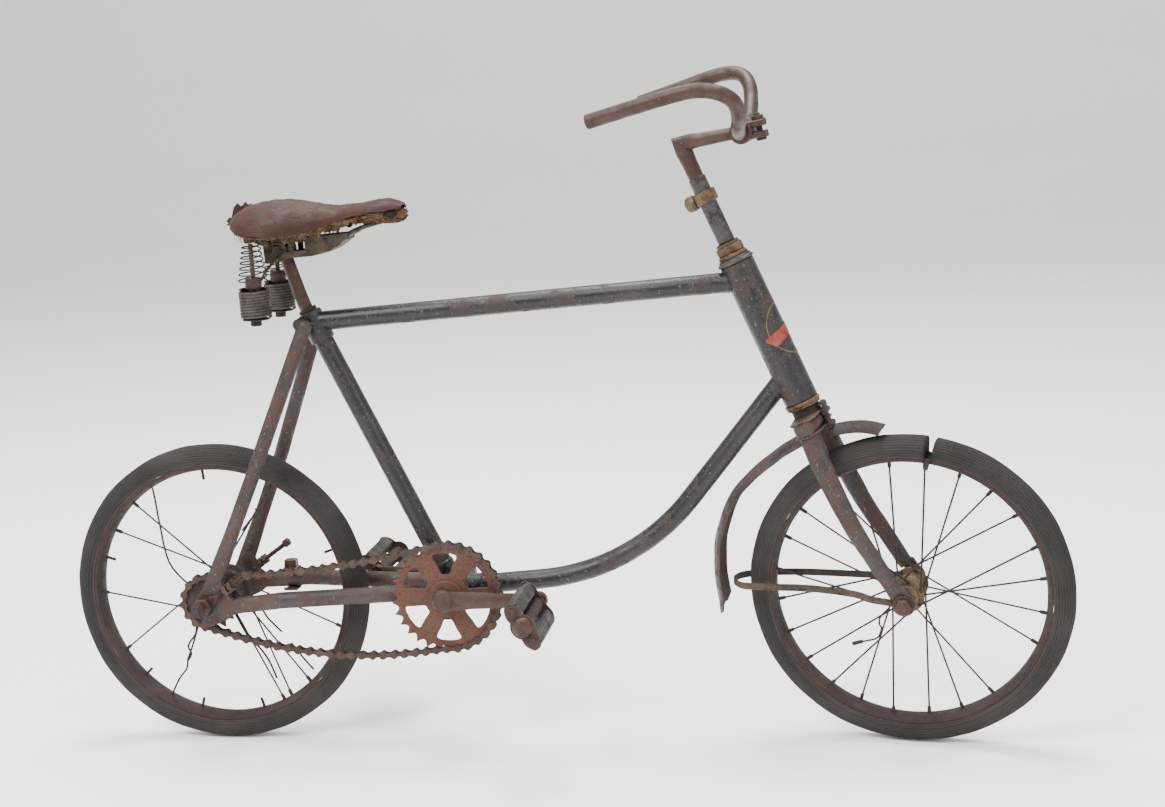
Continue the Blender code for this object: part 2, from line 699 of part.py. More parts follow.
def pedal(side_name, parent):
    """Two rubber blocks between end plates, on a sleeve that turns on the crank's pin."""
    side = SIDES[side_name]
    start, end = PEDAL_START, PEDAL_START + PEDAL_LENGTH
    half_pitch = PEDAL_BLOCK_PITCH / 2
    plate_half = half_pitch + PEDAL_BLOCK_WIDTH * 0.42
    height = PEDAL_BLOCK_HEIGHT * 0.40
    frame_pieces = []
    outline = []
    for k in range(16):
        angle = tau * k / 16
        half_height = height * (0.35 + 0.65 * abs(sin(angle)))
        outline.append((plate_half * cos(angle), half_height if sin(angle) >= 0 else -half_height))
    for low in (start, end - PEDAL_PLATE_THICKNESS):
        ends = sorted((side * low, side * (low + PEDAL_PLATE_THICKNESS)))
        frame_pieces.append(plate(outline, *ends))
    frame_pieces.append(drum((0, side * start, 0), (0, side * (end - 0.001), 0), PEDAL_SLEEVE_RADIUS, 12))
    cap_low, cap_high = side * (end - 0.002), side * (end + 0.005)
    frame_pieces.append(drum((0, cap_low, 0), (0, cap_high, 0), PEDAL_CAP_RADIUS, 14))
    for offset in (-half_pitch, half_pitch):
        pin_low, pin_high = side * (start + 0.001), side * (end - 0.001)
        frame_pieces.append(drum((offset, pin_low, 0), (offset, pin_high, 0), PEDAL_BOLT_RADIUS, 8))
    low, high = side * (start - 0.01), side * (end - 0.003)
    bore = drum((0, low, 0), (0, high, 0), PEDAL_PIN_RADIUS + RUNNING_GAP, 12)
    body = joined(f"{side_name}_pedal_frame", frame_pieces, [bore])
    turn = Matrix.Rotation(-PEDAL_REST_ANGLE[side_name], 4, "Y")
    place = (-side * CRANK_LENGTH, 0, 0)
    finish(moved(body, turn), "rust", parent, place)
    for number, offset in ((1, -half_pitch), (2, half_pitch)):
        half_w, half_h = PEDAL_BLOCK_WIDTH / 2, PEDAL_BLOCK_HEIGHT / 2
        corner = 0.004
        rows = (
            (-half_w, -half_h + corner), (-half_w + corner, -half_h), (half_w - corner, -half_h),
            (half_w, -half_h + corner), (half_w, half_h - corner), (half_w - corner, half_h),
            (-half_w + corner, half_h), (-half_w, half_h - corner),
        )
        low = start + PEDAL_PLATE_THICKNESS + GAP
        high = end - PEDAL_PLATE_THICKNESS - GAP
        block = plate([(offset + x, z) for x, z in rows], *sorted((side * low, side * high)))
        near, far = side * (low - 0.01), side * (high + 0.01)
        hole = drum((offset, near, 0), (offset, far, 0), PEDAL_BOLT_RADIUS + GAP, 8)
        sleeve_room = drum((0, near, 0), (0, far, 0), PEDAL_SLEEVE_RADIUS + GAP, 12)
        block = joined(f"{side_name}_pedal_block_{number}", [block], [hole, sleeve_room])
        finish(moved(block, turn), "rubber", parent, place)


def driver(parent):
    """The rear sprocket on its short driver, which turns on the rear axle beside the hub."""
    half = SPROCKET_THICKNESS / 2
    teeth = plate(toothed_outline(SPROCKET_TEETH, pi / SPROCKET_TEETH), CHAIN_Y - half, CHAIN_Y + half)
    sleeve = turned(
        (
            (AXLE_RADIUS + RUNNING_GAP, CHAIN_Y - 0.0035),
            (0.013, CHAIN_Y - 0.0035),
            (0.017, CHAIN_Y),
            (0.017, -REAR_HUB_HALF_LENGTH - GAP),
            (AXLE_RADIUS + RUNNING_GAP, -REAR_HUB_HALF_LENGTH - GAP),
        ),
        20,
    )
    middle = drum((0, CHAIN_Y - 0.02, 0), (0, CHAIN_Y + 0.02, 0), 0.010, 12)
    teeth = joined("rear_sprocket", [teeth], [middle])
    return finish(joined("rear_sprocket", [teeth, sleeve]), "dark_rust", parent)


def chain_line():
    """Points on the chain's pitch line, link by link, clockwise as seen from the chain's side, and closed.

    It runs round the ring and the sprocket, straight above them and slack below.
    """
    big, small = pitch_radius(RING_TEETH), pitch_radius(SPROCKET_TEETH)
    across = BRACKET - REAR_AXLE
    distance = hypot(across.x, across.z)
    tilt = atan2(across.z, across.x)
    spread = (big - small) / distance
    reach = sqrt(1 - spread**2)
    points = []

    def place(centre, radius, angle):
        return Vector((centre.x + radius * cos(angle), centre.z + radius * sin(angle)))

    upper = tilt + atan2(reach, -spread)
    lower = tilt - atan2(reach, -spread)
    arc_steps = 2 * int((tau - (upper - lower)) * small / CHAIN_PITCH + (upper - lower) * big / CHAIN_PITCH)
    big_steps = RING_TEETH
    for k in range(big_steps + 1):
        angle = upper + (lower - upper) * k / big_steps
        points.append(place(BRACKET, big, angle))
    start = place(BRACKET, big, lower)
    end = place(REAR_AXLE, small, lower)
    run = (start - end).length
    links = round(run / CHAIN_PITCH) * 2
    for k in range(1, links):
        share = k / links
        point = start.lerp(end, share)
        point.y -= CHAIN_SLACK * 4 * share * (1 - share)
        points.append(point)
    small_steps = max(8, arc_steps - big_steps)
    for k in range(small_steps + 1):
        angle = lower - (tau - (upper - lower)) * k / small_steps
        points.append(place(REAR_AXLE, small, angle))
    start = place(REAR_AXLE, small, upper)
    end = place(BRACKET, big, upper)
    for k in range(1, links):
        points.append(start.lerp(end, k / links))
    return points


def chain(parent):
    """The chain as one fixed loop with its links' waves, and a slot for the teeth to turn in."""
    line = chain_line()
    count = len(line)
    outer, inner = [], []
    for k, point in enumerate(line):
        ahead = line[(k + 1) % count] - line[k - 1]
        away = Vector((ahead.y, -ahead.x)).normalized()
        half = CHAIN_HALF_HEIGHT if k % 2 else CHAIN_WAIST_HALF_HEIGHT
        outer.append(point - away * half)
        inner.append(point + away * half)
    half_width = CHAIN_WIDTH / 2
    bm = bmesh.new()
    rings = []
    for loop in (outer, inner):
        for y in (CHAIN_Y - half_width, CHAIN_Y + half_width):
            rings.append([bm.verts.new((p.x, y, p.y)) for p in loop])
    outer_low, outer_high, inner_low, inner_high = rings
    corners = (outer_low, outer_high, inner_high, inner_low, outer_low)
    for first, second in zip(corners, corners[1:]):
        for k in range(count):
            following = (k + 1) % count
            bm.faces.new((first[k], first[following], second[following], second[k]))
    loop = object_from("chain", bm)
    cutters = []
    for centre, teeth in ((BRACKET, RING_TEETH), (REAR_AXLE, SPROCKET_TEETH)):
        radius = pitch_radius(teeth) + TOOTH_ABOVE_PITCH + TOOTH_SLOT_END
        half = SPROCKET_THICKNESS / 2 + TOOTH_SLOT_SIDE
        cutter = drum((0, CHAIN_Y - half, 0), (0, CHAIN_Y + half, 0), radius, 2 * teeth)
        cutters.append(moved(cutter, Matrix.Translation(centre)))
    return finish(joined("chain", [loop], cutters), "chain_rust", parent)


# Frame

def head_tube(parent):
    low = on_head(HEAD_LENGTH)
    tube = drum(HEAD_TOP, low, HEAD_RADIUS, 24)
    bore = drum(on_head(-0.01), on_head(HEAD_LENGTH + 0.01), HEAD_BORE, 24)
    return finish(joined("head_tube", [tube], [bore]), "worn_enamel", parent)


def seat_cluster(parent):
    """The seat lug, open for the saddle post at its top."""
    down_seat_tube = (BRACKET - SEAT_LUG).normalized()
    top = SEAT_LUG - down_seat_tube * SEAT_LUG_ABOVE
    lug = drum(top, top + down_seat_tube * SEAT_LUG_LENGTH, SEAT_LUG_RADIUS, 20)
    out = Vector((0, SEAT_STAY_TOP_Y, 0))
    middle = SEAT_LUG + SEAT_EAR_OFFSET
    ear = drum(middle - out, middle + out, SEAT_EAR_RADIUS, 12)
    floor = top + down_seat_tube * (SEAT_LUG_LENGTH - SEAT_LUG_ABOVE)
    bore = drum(top - down_seat_tube * 0.01, floor, POST_RADIUS + GAP, 16)
    return finish(joined("seat_lug", [lug, ear], [bore]), "worn_enamel", parent)


def frame_tubes(parent):
    down_seat_tube = (BRACKET - SEAT_LUG).normalized()
    lug_end = SEAT_LUG + down_seat_tube * (SEAT_LUG_LENGTH - SEAT_LUG_ABOVE + GAP)
    bracket_start = BRACKET - down_seat_tube * (BRACKET_RADIUS + GAP)
    tube = drum(lug_end, bracket_start, TUBE_RADIUS, 20)
    finish(joined("seat_tube", [tube], [bracket_room()]), "worn_enamel", parent)

    head_joint = on_head(TOP_TUBE_DROP)
    tube = drum(SEAT_LUG, head_joint, TUBE_RADIUS, 20)
    finish(joined("top_tube", [tube], [lug_room(), head_room()]), "worn_enamel", parent)

    path = rounded_path([on_head(DOWN_TUBE_DROP), DOWN_TUBE_CORNER, BRACKET], [DOWN_TUBE_BEND], steps=12)
    tube = swept(path, TUBE_RADIUS, 16)
    finish(joined("down_tube", [tube], [bracket_room(), head_room()]), "worn_enamel", parent)

    finish(bracket_shell(), "worn_enamel", parent, BRACKET)


def bracket_shell():
    """The bracket's shell with the two cups pressed into it, round the crank axle."""
    half = BRACKET_HALF_WIDTH
    hole = CRANK_AXLE_RADIUS + RUNNING_GAP
    right = [
        (BRACKET_BORE, -half + CUP_DEPTH),
        (hole, -half + CUP_DEPTH),
        (hole, -half - CUP_LIP),
        (BRACKET_RADIUS - CUP_INSET - CUP_BEVEL, -half - CUP_LIP),
        (BRACKET_RADIUS - CUP_INSET, -half),
        (BRACKET_RADIUS, -half),
    ]
    left = [(radius, -y) for radius, y in reversed(right)]
    return turned(right + left, 24, "bracket_shell")


def bracket_room():
    room = drum((0, -0.05, 0), (0, 0.05, 0), BRACKET_RADIUS + GAP, 24)
    return moved(room, Matrix.Translation(BRACKET))


def head_room():
    return drum(on_head(-0.03), on_head(HEAD_LENGTH + 0.03), HEAD_RADIUS + GAP, 24)


def lug_room():
    down_seat_tube = (BRACKET - SEAT_LUG).normalized()
    top = SEAT_LUG - down_seat_tube * 0.03
    return drum(top, top + down_seat_tube * (SEAT_LUG_LENGTH + 0.04), SEAT_LUG_RADIUS + GAP, 20)


def chain_stay(side, room=0.0):
    """One chain stay, or with room the space round it that a clip on it leaves."""
    front = BRACKET + Vector((-0.010, side * CHAIN_STAY_FRONT_Y, 0.0))
    bend_x, bend_z = CHAIN_STAY_BEND
    bend = REAR_AXLE + Vector((bend_x, side * (STAY_SPREAD_Y + 0.002), bend_z))
    rear = REAR_AXLE + Vector((0.0280, side * FORK_END_Y, -0.0020))
    path = rounded_path([front, bend, rear], [0.06], steps=4)
    count = len(path)
    sizes = []
    for k in range(count):
        flat = max(0.0, (k - count + 2))
        width = CHAIN_STAY_RADIUS * (1 - STAY_FLATTENING * flat)
        sizes.append((width + room, CHAIN_STAY_RADIUS * CHAIN_STAY_HEIGHT + room))
    return swept(path, sizes, 12)


def rear_triangle(side_name, parent):
    side = SIDES[side_name]
    top = SEAT_LUG + Vector((-0.0030, side * (SEAT_STAY_TOP_Y + SEAT_STAY_RADIUS * 0.6 + GAP), -0.002))
    bend_x, bend_z = SEAT_STAY_BEND
    spread = REAR_AXLE + Vector((bend_x, side * STAY_SPREAD_Y, bend_z))
    low = REAR_AXLE + Vector((0.0110, side * FORK_END_Y, 0.0240))
    path = rounded_path([top, spread, low], [0.10], steps=4)
    count = len(path)
    sizes = []
    for k in range(count):
        flat = max(0.0, (k - count + 2))
        sizes.append((SEAT_STAY_RADIUS * (1 - STAY_FLATTENING * flat), SEAT_STAY_RADIUS * (1 + 0.25 * flat)))
    stay = swept(path, sizes, 12)
    out = Vector((0, SEAT_STAY_TOP_Y + GAP, 0))
    middle = SEAT_LUG + SEAT_EAR_OFFSET
    ear_room = drum(middle - out, middle + out, 0.03, 16)
    finish(joined(f"{side_name}_seat_stay", [stay], [ear_room, fork_end_room(side)]), "worn_enamel", parent)

    pieces = [chain_stay(side), fork_end(side)]
    finish(joined(f"{side_name}_chain_stay", pieces, [bracket_room()]), "worn_enamel", parent)


FORK_END_OUTLINE = (
    # x and z from the axle: up the seat stay, along the chain stay, and the two jaws of the slot
    (0.0030, 0.0300), (0.0210, 0.0300), (0.0260, 0.0140), (0.0340, 0.0080),
    (0.0340, -0.0110), (0.0170, -0.0200), (0.0020, -0.0260), (-0.0080, -0.0230),
    (0.0040, -0.0100), (-0.0130, 0.0020), (-0.0060, 0.0100),
)


def fork_end(side):
    """The flattened joint of the two stays, with a slot for the axle that opens down and backwards."""
    low = side * FORK_END_Y - FORK_END_THICKNESS / 2
    outline = [(x, z) for x, z in FORK_END_OUTLINE]
    body = plate(outline, low, low + FORK_END_THICKNESS)
    slot = drum((0, low - 0.01, 0), (0, low + 0.02, 0), FORK_END_SLOT / 2, 16)
    return moved(joined("fork_end", [body], [slot]), Matrix.Translation(REAR_AXLE))


def fork_end_room(side):
    """The space of a fork end and its gap, which the stays' ends are cut back to."""
    half = TUBE_RADIUS
    middle = Vector((0.0110, 0.0, 0.0030))
    outline = []
    for x, z in FORK_END_OUTLINE:
        out = (Vector((x, 0, z)) - middle).normalized() * GAP * 1.6
        outline.append((x + out.x, z + out.z))
    room = plate(outline, side * FORK_END_Y - half, side * FORK_END_Y + half)
    return moved(room, Matrix.Translation(REAR_AXLE))


def rear_axle_set(parent):
    """The axle with the cones and nuts that clamp the fork ends, and the brake's reaction arm."""
    inner_face = FORK_END_Y - FORK_END_THICKNESS / 2
    outer_face = FORK_END_Y + FORK_END_THICKNESS / 2
    rod = drum((0, -REAR_AXLE_RIGHT_END, 0), (0, REAR_AXLE_LEFT_END, 0), AXLE_RADIUS, 14)
    rows = (
        # start, end, radius, sides
        (CHAIN_Y - 0.0035 - RUNNING_GAP, -inner_face + GAP, 0.0095, 12),
        (REAR_HUB_HALF_LENGTH + RUNNING_GAP, BRAKE_CONE_END, BRAKE_CONE_RADIUS, 16),
        (BRAKE_CONE_END - 0.0010, inner_face - GAP, 0.0100, 6),
        (-outer_face - ADJUSTER_PLATE - 2 * GAP, -outer_face - 0.0130, 0.0115, 6),
        (outer_face + ADJUSTER_PLATE + 2 * GAP, outer_face + 0.0110, 0.0115, 6),
        (-REAR_AXLE_RIGHT_END + 0.004, -REAR_AXLE_RIGHT_END - 0.002, 0.0065, 12),
    )
    pieces = [rod] + [drum((0, a, 0), (0, b, 0), radius, sides) for a, b, radius, sides in rows]
    finish(joined("rear_axle", pieces), "dark_rust", parent, REAR_AXLE)

    along = CLIP_X - 0.004
    rows = ((-0.010, 0.012), (along, 0.0085), (along + 0.004, 0.0085))
    outline = [(x, -h) for x, h in rows] + [(x, h) for x, h in reversed(rows)]
    arm = plate(outline, inner_face - BRAKE_ARM_THICKNESS - 2 * GAP, inner_face - 2 * GAP)
    hole = drum((0, 0.02, 0), (0, 0.08, 0), 0.0100 + GAP, 16)
    clip_outline = (
        (CLIP_X - CLIP_HALF_WIDTH, -CLIP_BELOW), (CLIP_X + CLIP_HALF_WIDTH, -CLIP_BELOW),
        (CLIP_X + CLIP_HALF_WIDTH, CLIP_ABOVE), (CLIP_X - CLIP_HALF_WIDTH, CLIP_ABOVE),
    )
    clip = plate(clip_outline, CLIP_INNER_Y, CLIP_OUTER_Y)
    room = chain_stay(1, CLIP_ROOM)
    moved(room, Matrix.Translation(-REAR_AXLE))
    finish(joined("brake_arm", [arm, clip], [hole, room]), "rust", parent, REAR_AXLE)


def chain_adjuster(side_name, parent):
    """An eye round the axle outside the fork end, and a threaded rod with nuts that points forwards."""
    side = SIDES[side_name]
    length, knob = ADJUSTER_ENDS[side_name]
    face = FORK_END_Y + FORK_END_THICKNESS / 2 + GAP
    ends = sorted((side * face, side * (face + ADJUSTER_PLATE)))
    eye = drum((0, ends[0], 0), (0, ends[1], 0), 0.0095, 14)
    along = Vector((cos(ADJUSTER_ANGLE), 0, sin(ADJUSTER_ANGLE)))
    middle_y = Vector((0, side * (face + ADJUSTER_ROD + 0.0002), 0))
    rod = drum(middle_y + along * 0.0125, middle_y + along * length, ADJUSTER_ROD, 8)
    aside = Vector((-along.z, 0, along.x)) * 0.0045
    corners = (aside, aside + along * 0.018, along * 0.018 - aside, -aside)
    tab = plate([(corner.x, corner.z) for corner in corners], *ends)
    pieces = [eye, tab, rod]
    rows = ((0.030, 0.036, 0.0062), (0.038, 0.043, 0.0062), (length - knob, length + 0.001, 0.0048))
    for start, end, radius in rows:
        pieces.append(drum(middle_y + along * start, middle_y + along * end, radius, 6))
    hole = drum((0, ends[0] - 0.01, 0), (0, ends[1] + 0.02, 0), AXLE_RADIUS + GAP, 14)
    corners = ((-0.03, -0.03), (0.09, -0.03), (0.09, 0.09), (-0.03, 0.09))
    flat = plate(corners, side * (face - 0.02), side * face)
    body = joined(f"{side_name}_chain_adjuster", pieces, [hole, flat])
    finish(body, "rust", parent, REAR_AXLE)


# Steering

def head_races(frame, steering):
    """The brass race under the head and the brass locknut over it, with the grey collar between."""
    def ring(name, start, end, radius, bore, finish_name, parent, at):
        tube = drum(on_head(-end), on_head(-start), radius, 24)
        room = drum(on_head(-end - 0.01), on_head(-start + 0.01), bore, 24)
        finish(joined(name, [tube], [room]), finish_name, parent, at)

    low = -HEAD_LENGTH - GAP
    here = (0, 0, 0)
    ring("lower_head_race", low - RACE_HEIGHT, low, LOWER_RACE_RADIUS, HEAD_BORE, "brass", frame, here)
    upper = GAP + UPPER_RACE_HEIGHT
    ring("upper_head_race", GAP, upper, UPPER_RACE_RADIUS, HEAD_BORE, "dull_steel", frame, here)
    start = upper + RUNNING_GAP
    bore = STEERER_RADIUS + GAP
    ring("head_locknut", start, start + LOCKNUT_HEIGHT, LOCKNUT_RADIUS, bore, "brass", steering, -HEAD_TOP)


def crown_span():
    """How far down the head the crown's top and its underside lie."""
    return CROWN_BELOW_HEAD, CROWN_BELOW_HEAD + CROWN_HEIGHT


def fork(parent):
    """The steerer, crown, blades and axle ends, in one."""
    crown_top, crown_low = crown_span()
    pieces = [
        drum(on_head(-STEERER_ABOVE), on_head(crown_low - 0.004), STEERER_RADIUS, 20),
        drum(on_head(crown_top), on_head(crown_top + 0.012), HEAD_RADIUS - 0.0035, 20),
        drum(on_head(crown_top + 0.010), on_head(crown_low), HEAD_RADIUS - 0.001, 20),
        drum(on_head(crown_low - 0.002, 0, -0.0400), on_head(crown_low - 0.002, 0, 0.0400), 0.0115, 14),
    ]
    end = FRONT_AXLE
    for side in (-1, 1):
        path = [
            on_head(crown_low + share * CROWN_TO_AXLE, ahead, side * out)
            for share, ahead, out, *_ in FORK_BLADE_ROWS
        ]
        end_x, end_z = FORK_BLADE_END
        path.append(end + Vector((end_x, side * FORK_HALF_WIDTH, end_z)))
        half_sizes = [row[3:] for row in FORK_BLADE_ROWS] + [FORK_BLADE_END_HALF_SIZES]
        path = smooth_path(path, 2)
        sizes = []
        for k in range(len(path)):
            row = min(k // 2, len(half_sizes) - 2)
            rest = k / 2 - row
            pairs = zip(half_sizes[row], half_sizes[row + 1])
            sizes.append([before + (after - before) * rest for before, after in pairs])
        pieces.append(swept(path, sizes, 10))
        low, high = sorted(side * (FORK_HALF_WIDTH + share * FORK_TIP_THICKNESS / 2) for share in (-1, 1))
        outline = []
        for k in range(14):
            angle = tau * k / 14
            outline.append((end.x + FORK_TIP_DISC * cos(angle), end.z + FORK_TIP_DISC * sin(angle)))
        outline_top = [(end.x - 0.0155, end.z + 0.0180), (end.x - 0.0010, end.z + 0.0200)]
        tip = plate(outline, low, high)
        foot = [(end.x - 0.0105, end.z), (end.x + 0.0080, end.z + 0.0060)]
        neck = plate([outline_top[0], *foot, outline_top[1]], low, high)
        pieces += [tip, neck]
    bores = [
        drum(end + Vector((0, side * 0.03, 0)), end + Vector((0, side * 0.07, 0)), AXLE_RADIUS + GAP, 14)
        for side in (-1, 1)
    ]
    finish(joined("fork", pieces, bores), "worn_enamel", parent, -HEAD_TOP)


def front_axle(parent, at):
    """The front axle, held by its nuts against the fork tips, with its cones inside them."""
    inner_face = FORK_HALF_WIDTH - FORK_TIP_THICKNESS / 2
    outer_face = FORK_HALF_WIDTH + FORK_TIP_THICKNESS / 2
    pieces = [drum((0, -FRONT_AXLE_HALF_LENGTH, 0), (0, FRONT_AXLE_HALF_LENGTH, 0), AXLE_RADIUS, 14)]
    for side in (-1, 1):
        nut_start = outer_face + STAY_THICKNESS + 2 * GAP
        cone = (side * (FRONT_HUB_HALF_LENGTH + RUNNING_GAP), side * (inner_face - GAP))
        nut = (side * nut_start, side * (nut_start + 0.0065))
        for (start, stop_at), radius, sides in ((cone, 0.0085, 12), (nut, 0.0098, 6)):
            pieces.append(drum((0, start, 0), (0, stop_at, 0), radius, sides))
    finish(joined("front_axle", pieces), "rust", parent, at)


def guard_path(rows):
    """The guard's middle line from its angles and distances round the front wheel."""
    path = []
    for degrees, outside in rows:
        reach, angle = WHEEL_RADIUS + outside, radians(degrees)
        path.append(FRONT_AXLE + Vector((reach * cos(angle), 0.0, reach * sin(angle))))
    return smooth_path(path, 2)


def mudguard(parent):
    """The guard's strip, torn off the wheel's line behind the crown, and its short piece in front."""
    path = guard_path(MUDGUARD_REAR)
    half = GUARD_HALF_WIDTH
    strip = swept(path, [(half, GUARD_HALF_THICKNESS)] * len(path), 8)
    finish(strip, "dark_rust", parent, -HEAD_TOP)
    strip.name = "rear_mudguard"
    path = guard_path(MUDGUARD_FRONT)
    strip = swept(path, [(half * 0.92, GUARD_HALF_THICKNESS)] * len(path), 8)
    top, low = crown_span()
    crown_room = drum(on_head(top), on_head(low + 0.01), HEAD_RADIUS - 0.001 + GAP, 20)
    finish(joined("front_mudguard", [strip], [crown_room]), "dark_rust", parent, -HEAD_TOP)


def mudguard_stay(parent):
    """A flat iron bent into a long loop behind the wheel, with an eye on each axle end."""
    face = FORK_HALF_WIDTH + FORK_TIP_THICKNESS / 2 + GAP
    level = FRONT_AXLE + Vector((0, face + STAY_THICKNESS / 2, 0))
    sides = []
    for side in (-1, 1):
        row = [
            Vector((level.x - 0.004, side * level.y, level.z)),
            Vector((level.x - STAY_NEAR_SHARE * WHEEL_RADIUS, side * level.y, level.z + STAY_NEAR_RISE)),
        ]
        for share, beyond, out, rise in STAY_FAR_ROWS:
            row.append(Vector((level.x - share * WHEEL_RADIUS - beyond, side * out, level.z + rise)))
        sides.append(row)
    loop = Vector((level.x - WHEEL_RADIUS - STAY_LOOP_BEYOND, 0.0, level.z + STAY_LOOP_RISE))
    whole = sides[0] + [loop] + sides[1][::-1]
    whole = smooth_path(whole, 3)
    bar = swept(whole, [(STAY_HEIGHT / 2, STAY_THICKNESS / 2)] * len(whole), 4, across=Vector((0, 0, 1)))
    pieces = [bar]
    for side in (-1, 1):
        low, high = sorted((side * face, side * (face + STAY_THICKNESS)))
        pieces.append(drum((level.x, low, level.z), (level.x, high, level.z), STAY_EYE_RADIUS, 14))
    hole = drum((level.x, -0.1, level.z), (level.x, 0.1, level.z), AXLE_RADIUS + GAP, 14)
    finish(joined("mudguard_stay", pieces, [hole]), "dark_rust", parent, -HEAD_TOP)


def stem(parent):
    """The L-shaped stem in its grey sleeve, the brass collar and the split clamp of the handlebar."""
    corner = on_head(-STEM_RISE)
    clamp = BAR_CENTRE
    sleeve_top = -SLEEVE_RISE
    sleeve_bottom = -STEERER_ABOVE - GAP
    tube = drum(on_head(sleeve_top), on_head(sleeve_bottom), QUILL_RADIUS, 20)
    finish(joined("stem_sleeve", [tube]), "dull_steel", parent, -HEAD_TOP)

    knob = UP_THE_HEAD * 0.006
    pieces = [
        drum(on_head(sleeve_top - GAP), corner - UP_THE_HEAD * 0.004, STEM_RADIUS, 16),
        swept([corner - Vector((0.004, 0, 0.003)), clamp], [(0.0078, 0.0082), (0.0068, 0.0066)], 12),
        swept([corner - knob, corner + knob], [(0.0080, 0.0095), (0.0068, 0.0070)], 12),
        drum(clamp + Vector((0, -0.0110, 0)), clamp + Vector((0, 0.0110, 0)), CLAMP_RADIUS, 20),
    ]
    ahead = (clamp - corner).normalized()
    lift = Vector((-ahead.z, 0, ahead.x))
    for offset in (-0.0062, 0.0062):
        ear_start = clamp + ahead * 0.006 + lift * offset
        ear_path = [ear_start, ear_start + ahead * 0.0195]
        ear = swept(ear_path, [(0.0085, 0.0040)] * 2, 4, across=Vector((0, 1, 0)))
        pieces.append(ear)
    bolt_at = clamp + ahead * 0.0185
    pieces.append(drum(bolt_at - lift * 0.0125, bolt_at + lift * 0.0165, 0.0032, 8))
    pieces.append(drum(bolt_at + lift * 0.0085, bolt_at + lift * 0.0140, 0.0062, 6))
    bore = drum(clamp + Vector((0, -0.03, 0)), clamp + Vector((0, 0.03, 0)), BAR_RADIUS + GAP, 20)
    finish(joined("stem", pieces, [bore]), "rust", parent, -HEAD_TOP)

    middle = -COLLAR_RISE
    ring = drum(on_head(middle - 0.0065), on_head(middle + 0.0065), QUILL_RADIUS + 0.0032, 20)
    bolt = drum(on_head(middle, -0.0100), on_head(middle + 0.001, -0.0230), 0.0052, 12)
    head = drum(on_head(middle + 0.001, -0.0150), on_head(middle + 0.001, -0.0215), 0.0075, 12)
    room = drum(on_head(middle - 0.03), on_head(middle + 0.03), QUILL_RADIUS + GAP, 20)
    finish(joined("stem_collar", [ring, bolt, head], [room]), "brass", parent, -HEAD_TOP)


def handlebar(parent):
    """The bar: out of the clamp on both sides, up, round and back to two bare ends."""
    right = [BAR_CENTRE + Vector((x, -y, z)) for x, y, z in BAR_RIGHT]
    left = [BAR_CENTRE + Vector((x, y, z)) for x, y, z in BAR_LEFT]
    path = smooth_path(right[::-1], 2) + smooth_path(left, 2)
    bar = swept(path, BAR_RADIUS, 10, across=Vector((0, 0, 1)))
    finish(bar, "rust", parent, -HEAD_TOP)
    bar.name = "handlebar"


# Saddle

def saddle_leather(parent):
    """The leather top as one lofted skin: an arch across each station, and its underside."""
    across = 10
    bm = bmesh.new()
    rings = []
    for ahead, half_width, crown_below, edge_below in SADDLE_STATIONS:
        x, crown, edge = SADDLE_TOP.x + ahead, SADDLE_TOP.z - crown_below, SADDLE_TOP.z - edge_below
        ring = []
        for surface in (0, 1):
            steps = range(across + 1) if surface == 0 else range(across, -1, -1)
            for k in steps:
                share = 2 * k / across - 1
                arch = sqrt(max(0.0, 1 - abs(share) ** 2.4))
                z = edge + (crown - edge) * arch
                inset = 1.0 if surface == 0 else 1 - LEATHER / half_width
                drop = 0.0 if surface == 0 else LEATHER * (0.35 + 0.65 * arch)
                ring.append(bm.verts.new((x, half_width * share * inset, z - drop)))
        rings.append(ring)
    for ring, following in zip(rings, rings[1:]):
        count = len(ring)
        for k in range(count):
            after = (k + 1) % count
            bm.faces.new((ring[k], ring[after], following[after], following[k]))
    for ring in (rings[0], rings[-1]):
        count = len(ring)
        for k in range(across):
            bm.faces.new((ring[k], ring[k + 1], ring[count - 2 - k], ring[count - 1 - k]))
    finish(object_from("saddle_leather", bm), "leather", parent)


def saddle_frame(parent):
    """The clamp on the post, the beam to the nose and the cross bar that carries the springs."""
    up = (POST_TOP - SEAT_LUG).normalized()
    clamp = POST_TOP + up * 0.004
    beam = [clamp + Vector((-0.010, 0, 0.004))]
    beam += [SADDLE_TOP + Vector((ahead, 0, -below)) for ahead, below, *_ in BEAM_ROWS]
    pieces = [
        drum(clamp + Vector((0, -0.0180, 0)), clamp + Vector((0, 0.0180, 0)), 0.0120, 14),
        swept(beam, [(0.0150, 0.0100)] + [row[2:] for row in BEAM_ROWS], 8),
        swept(
            [(SPRING_X, -SPRING_Y - 0.010, REAR_BAR_Z), (SPRING_X, SPRING_Y + 0.010, REAR_BAR_Z)],
            [(0.0060, 0.0035)] * 2, 6, across=Vector((1, 0, 0)),
        ),
    ]
    for side in (-1, 1):
        pieces.append(
            drum(clamp + Vector((0, side * 0.012, 0)), (SPRING_X, side * 0.026, REAR_BAR_Z), 0.0042, 8)
        )
    room = drum(SEAT_LUG + up * 0.03, POST_TOP + up * GAP, POST_RADIUS + GAP, 16)
    finish(joined("saddle_frame", pieces, [room]), "rust", parent)
    along_tube = (SEAT_LUG - BRACKET).normalized()
    path = [SEAT_LUG - along_tube * 0.010, SEAT_LUG + along_tube * 0.022, POST_TOP]
    post = swept(path, POST_RADIUS, 16)
    finish(joined("saddle_post", [post]), "rust", parent)


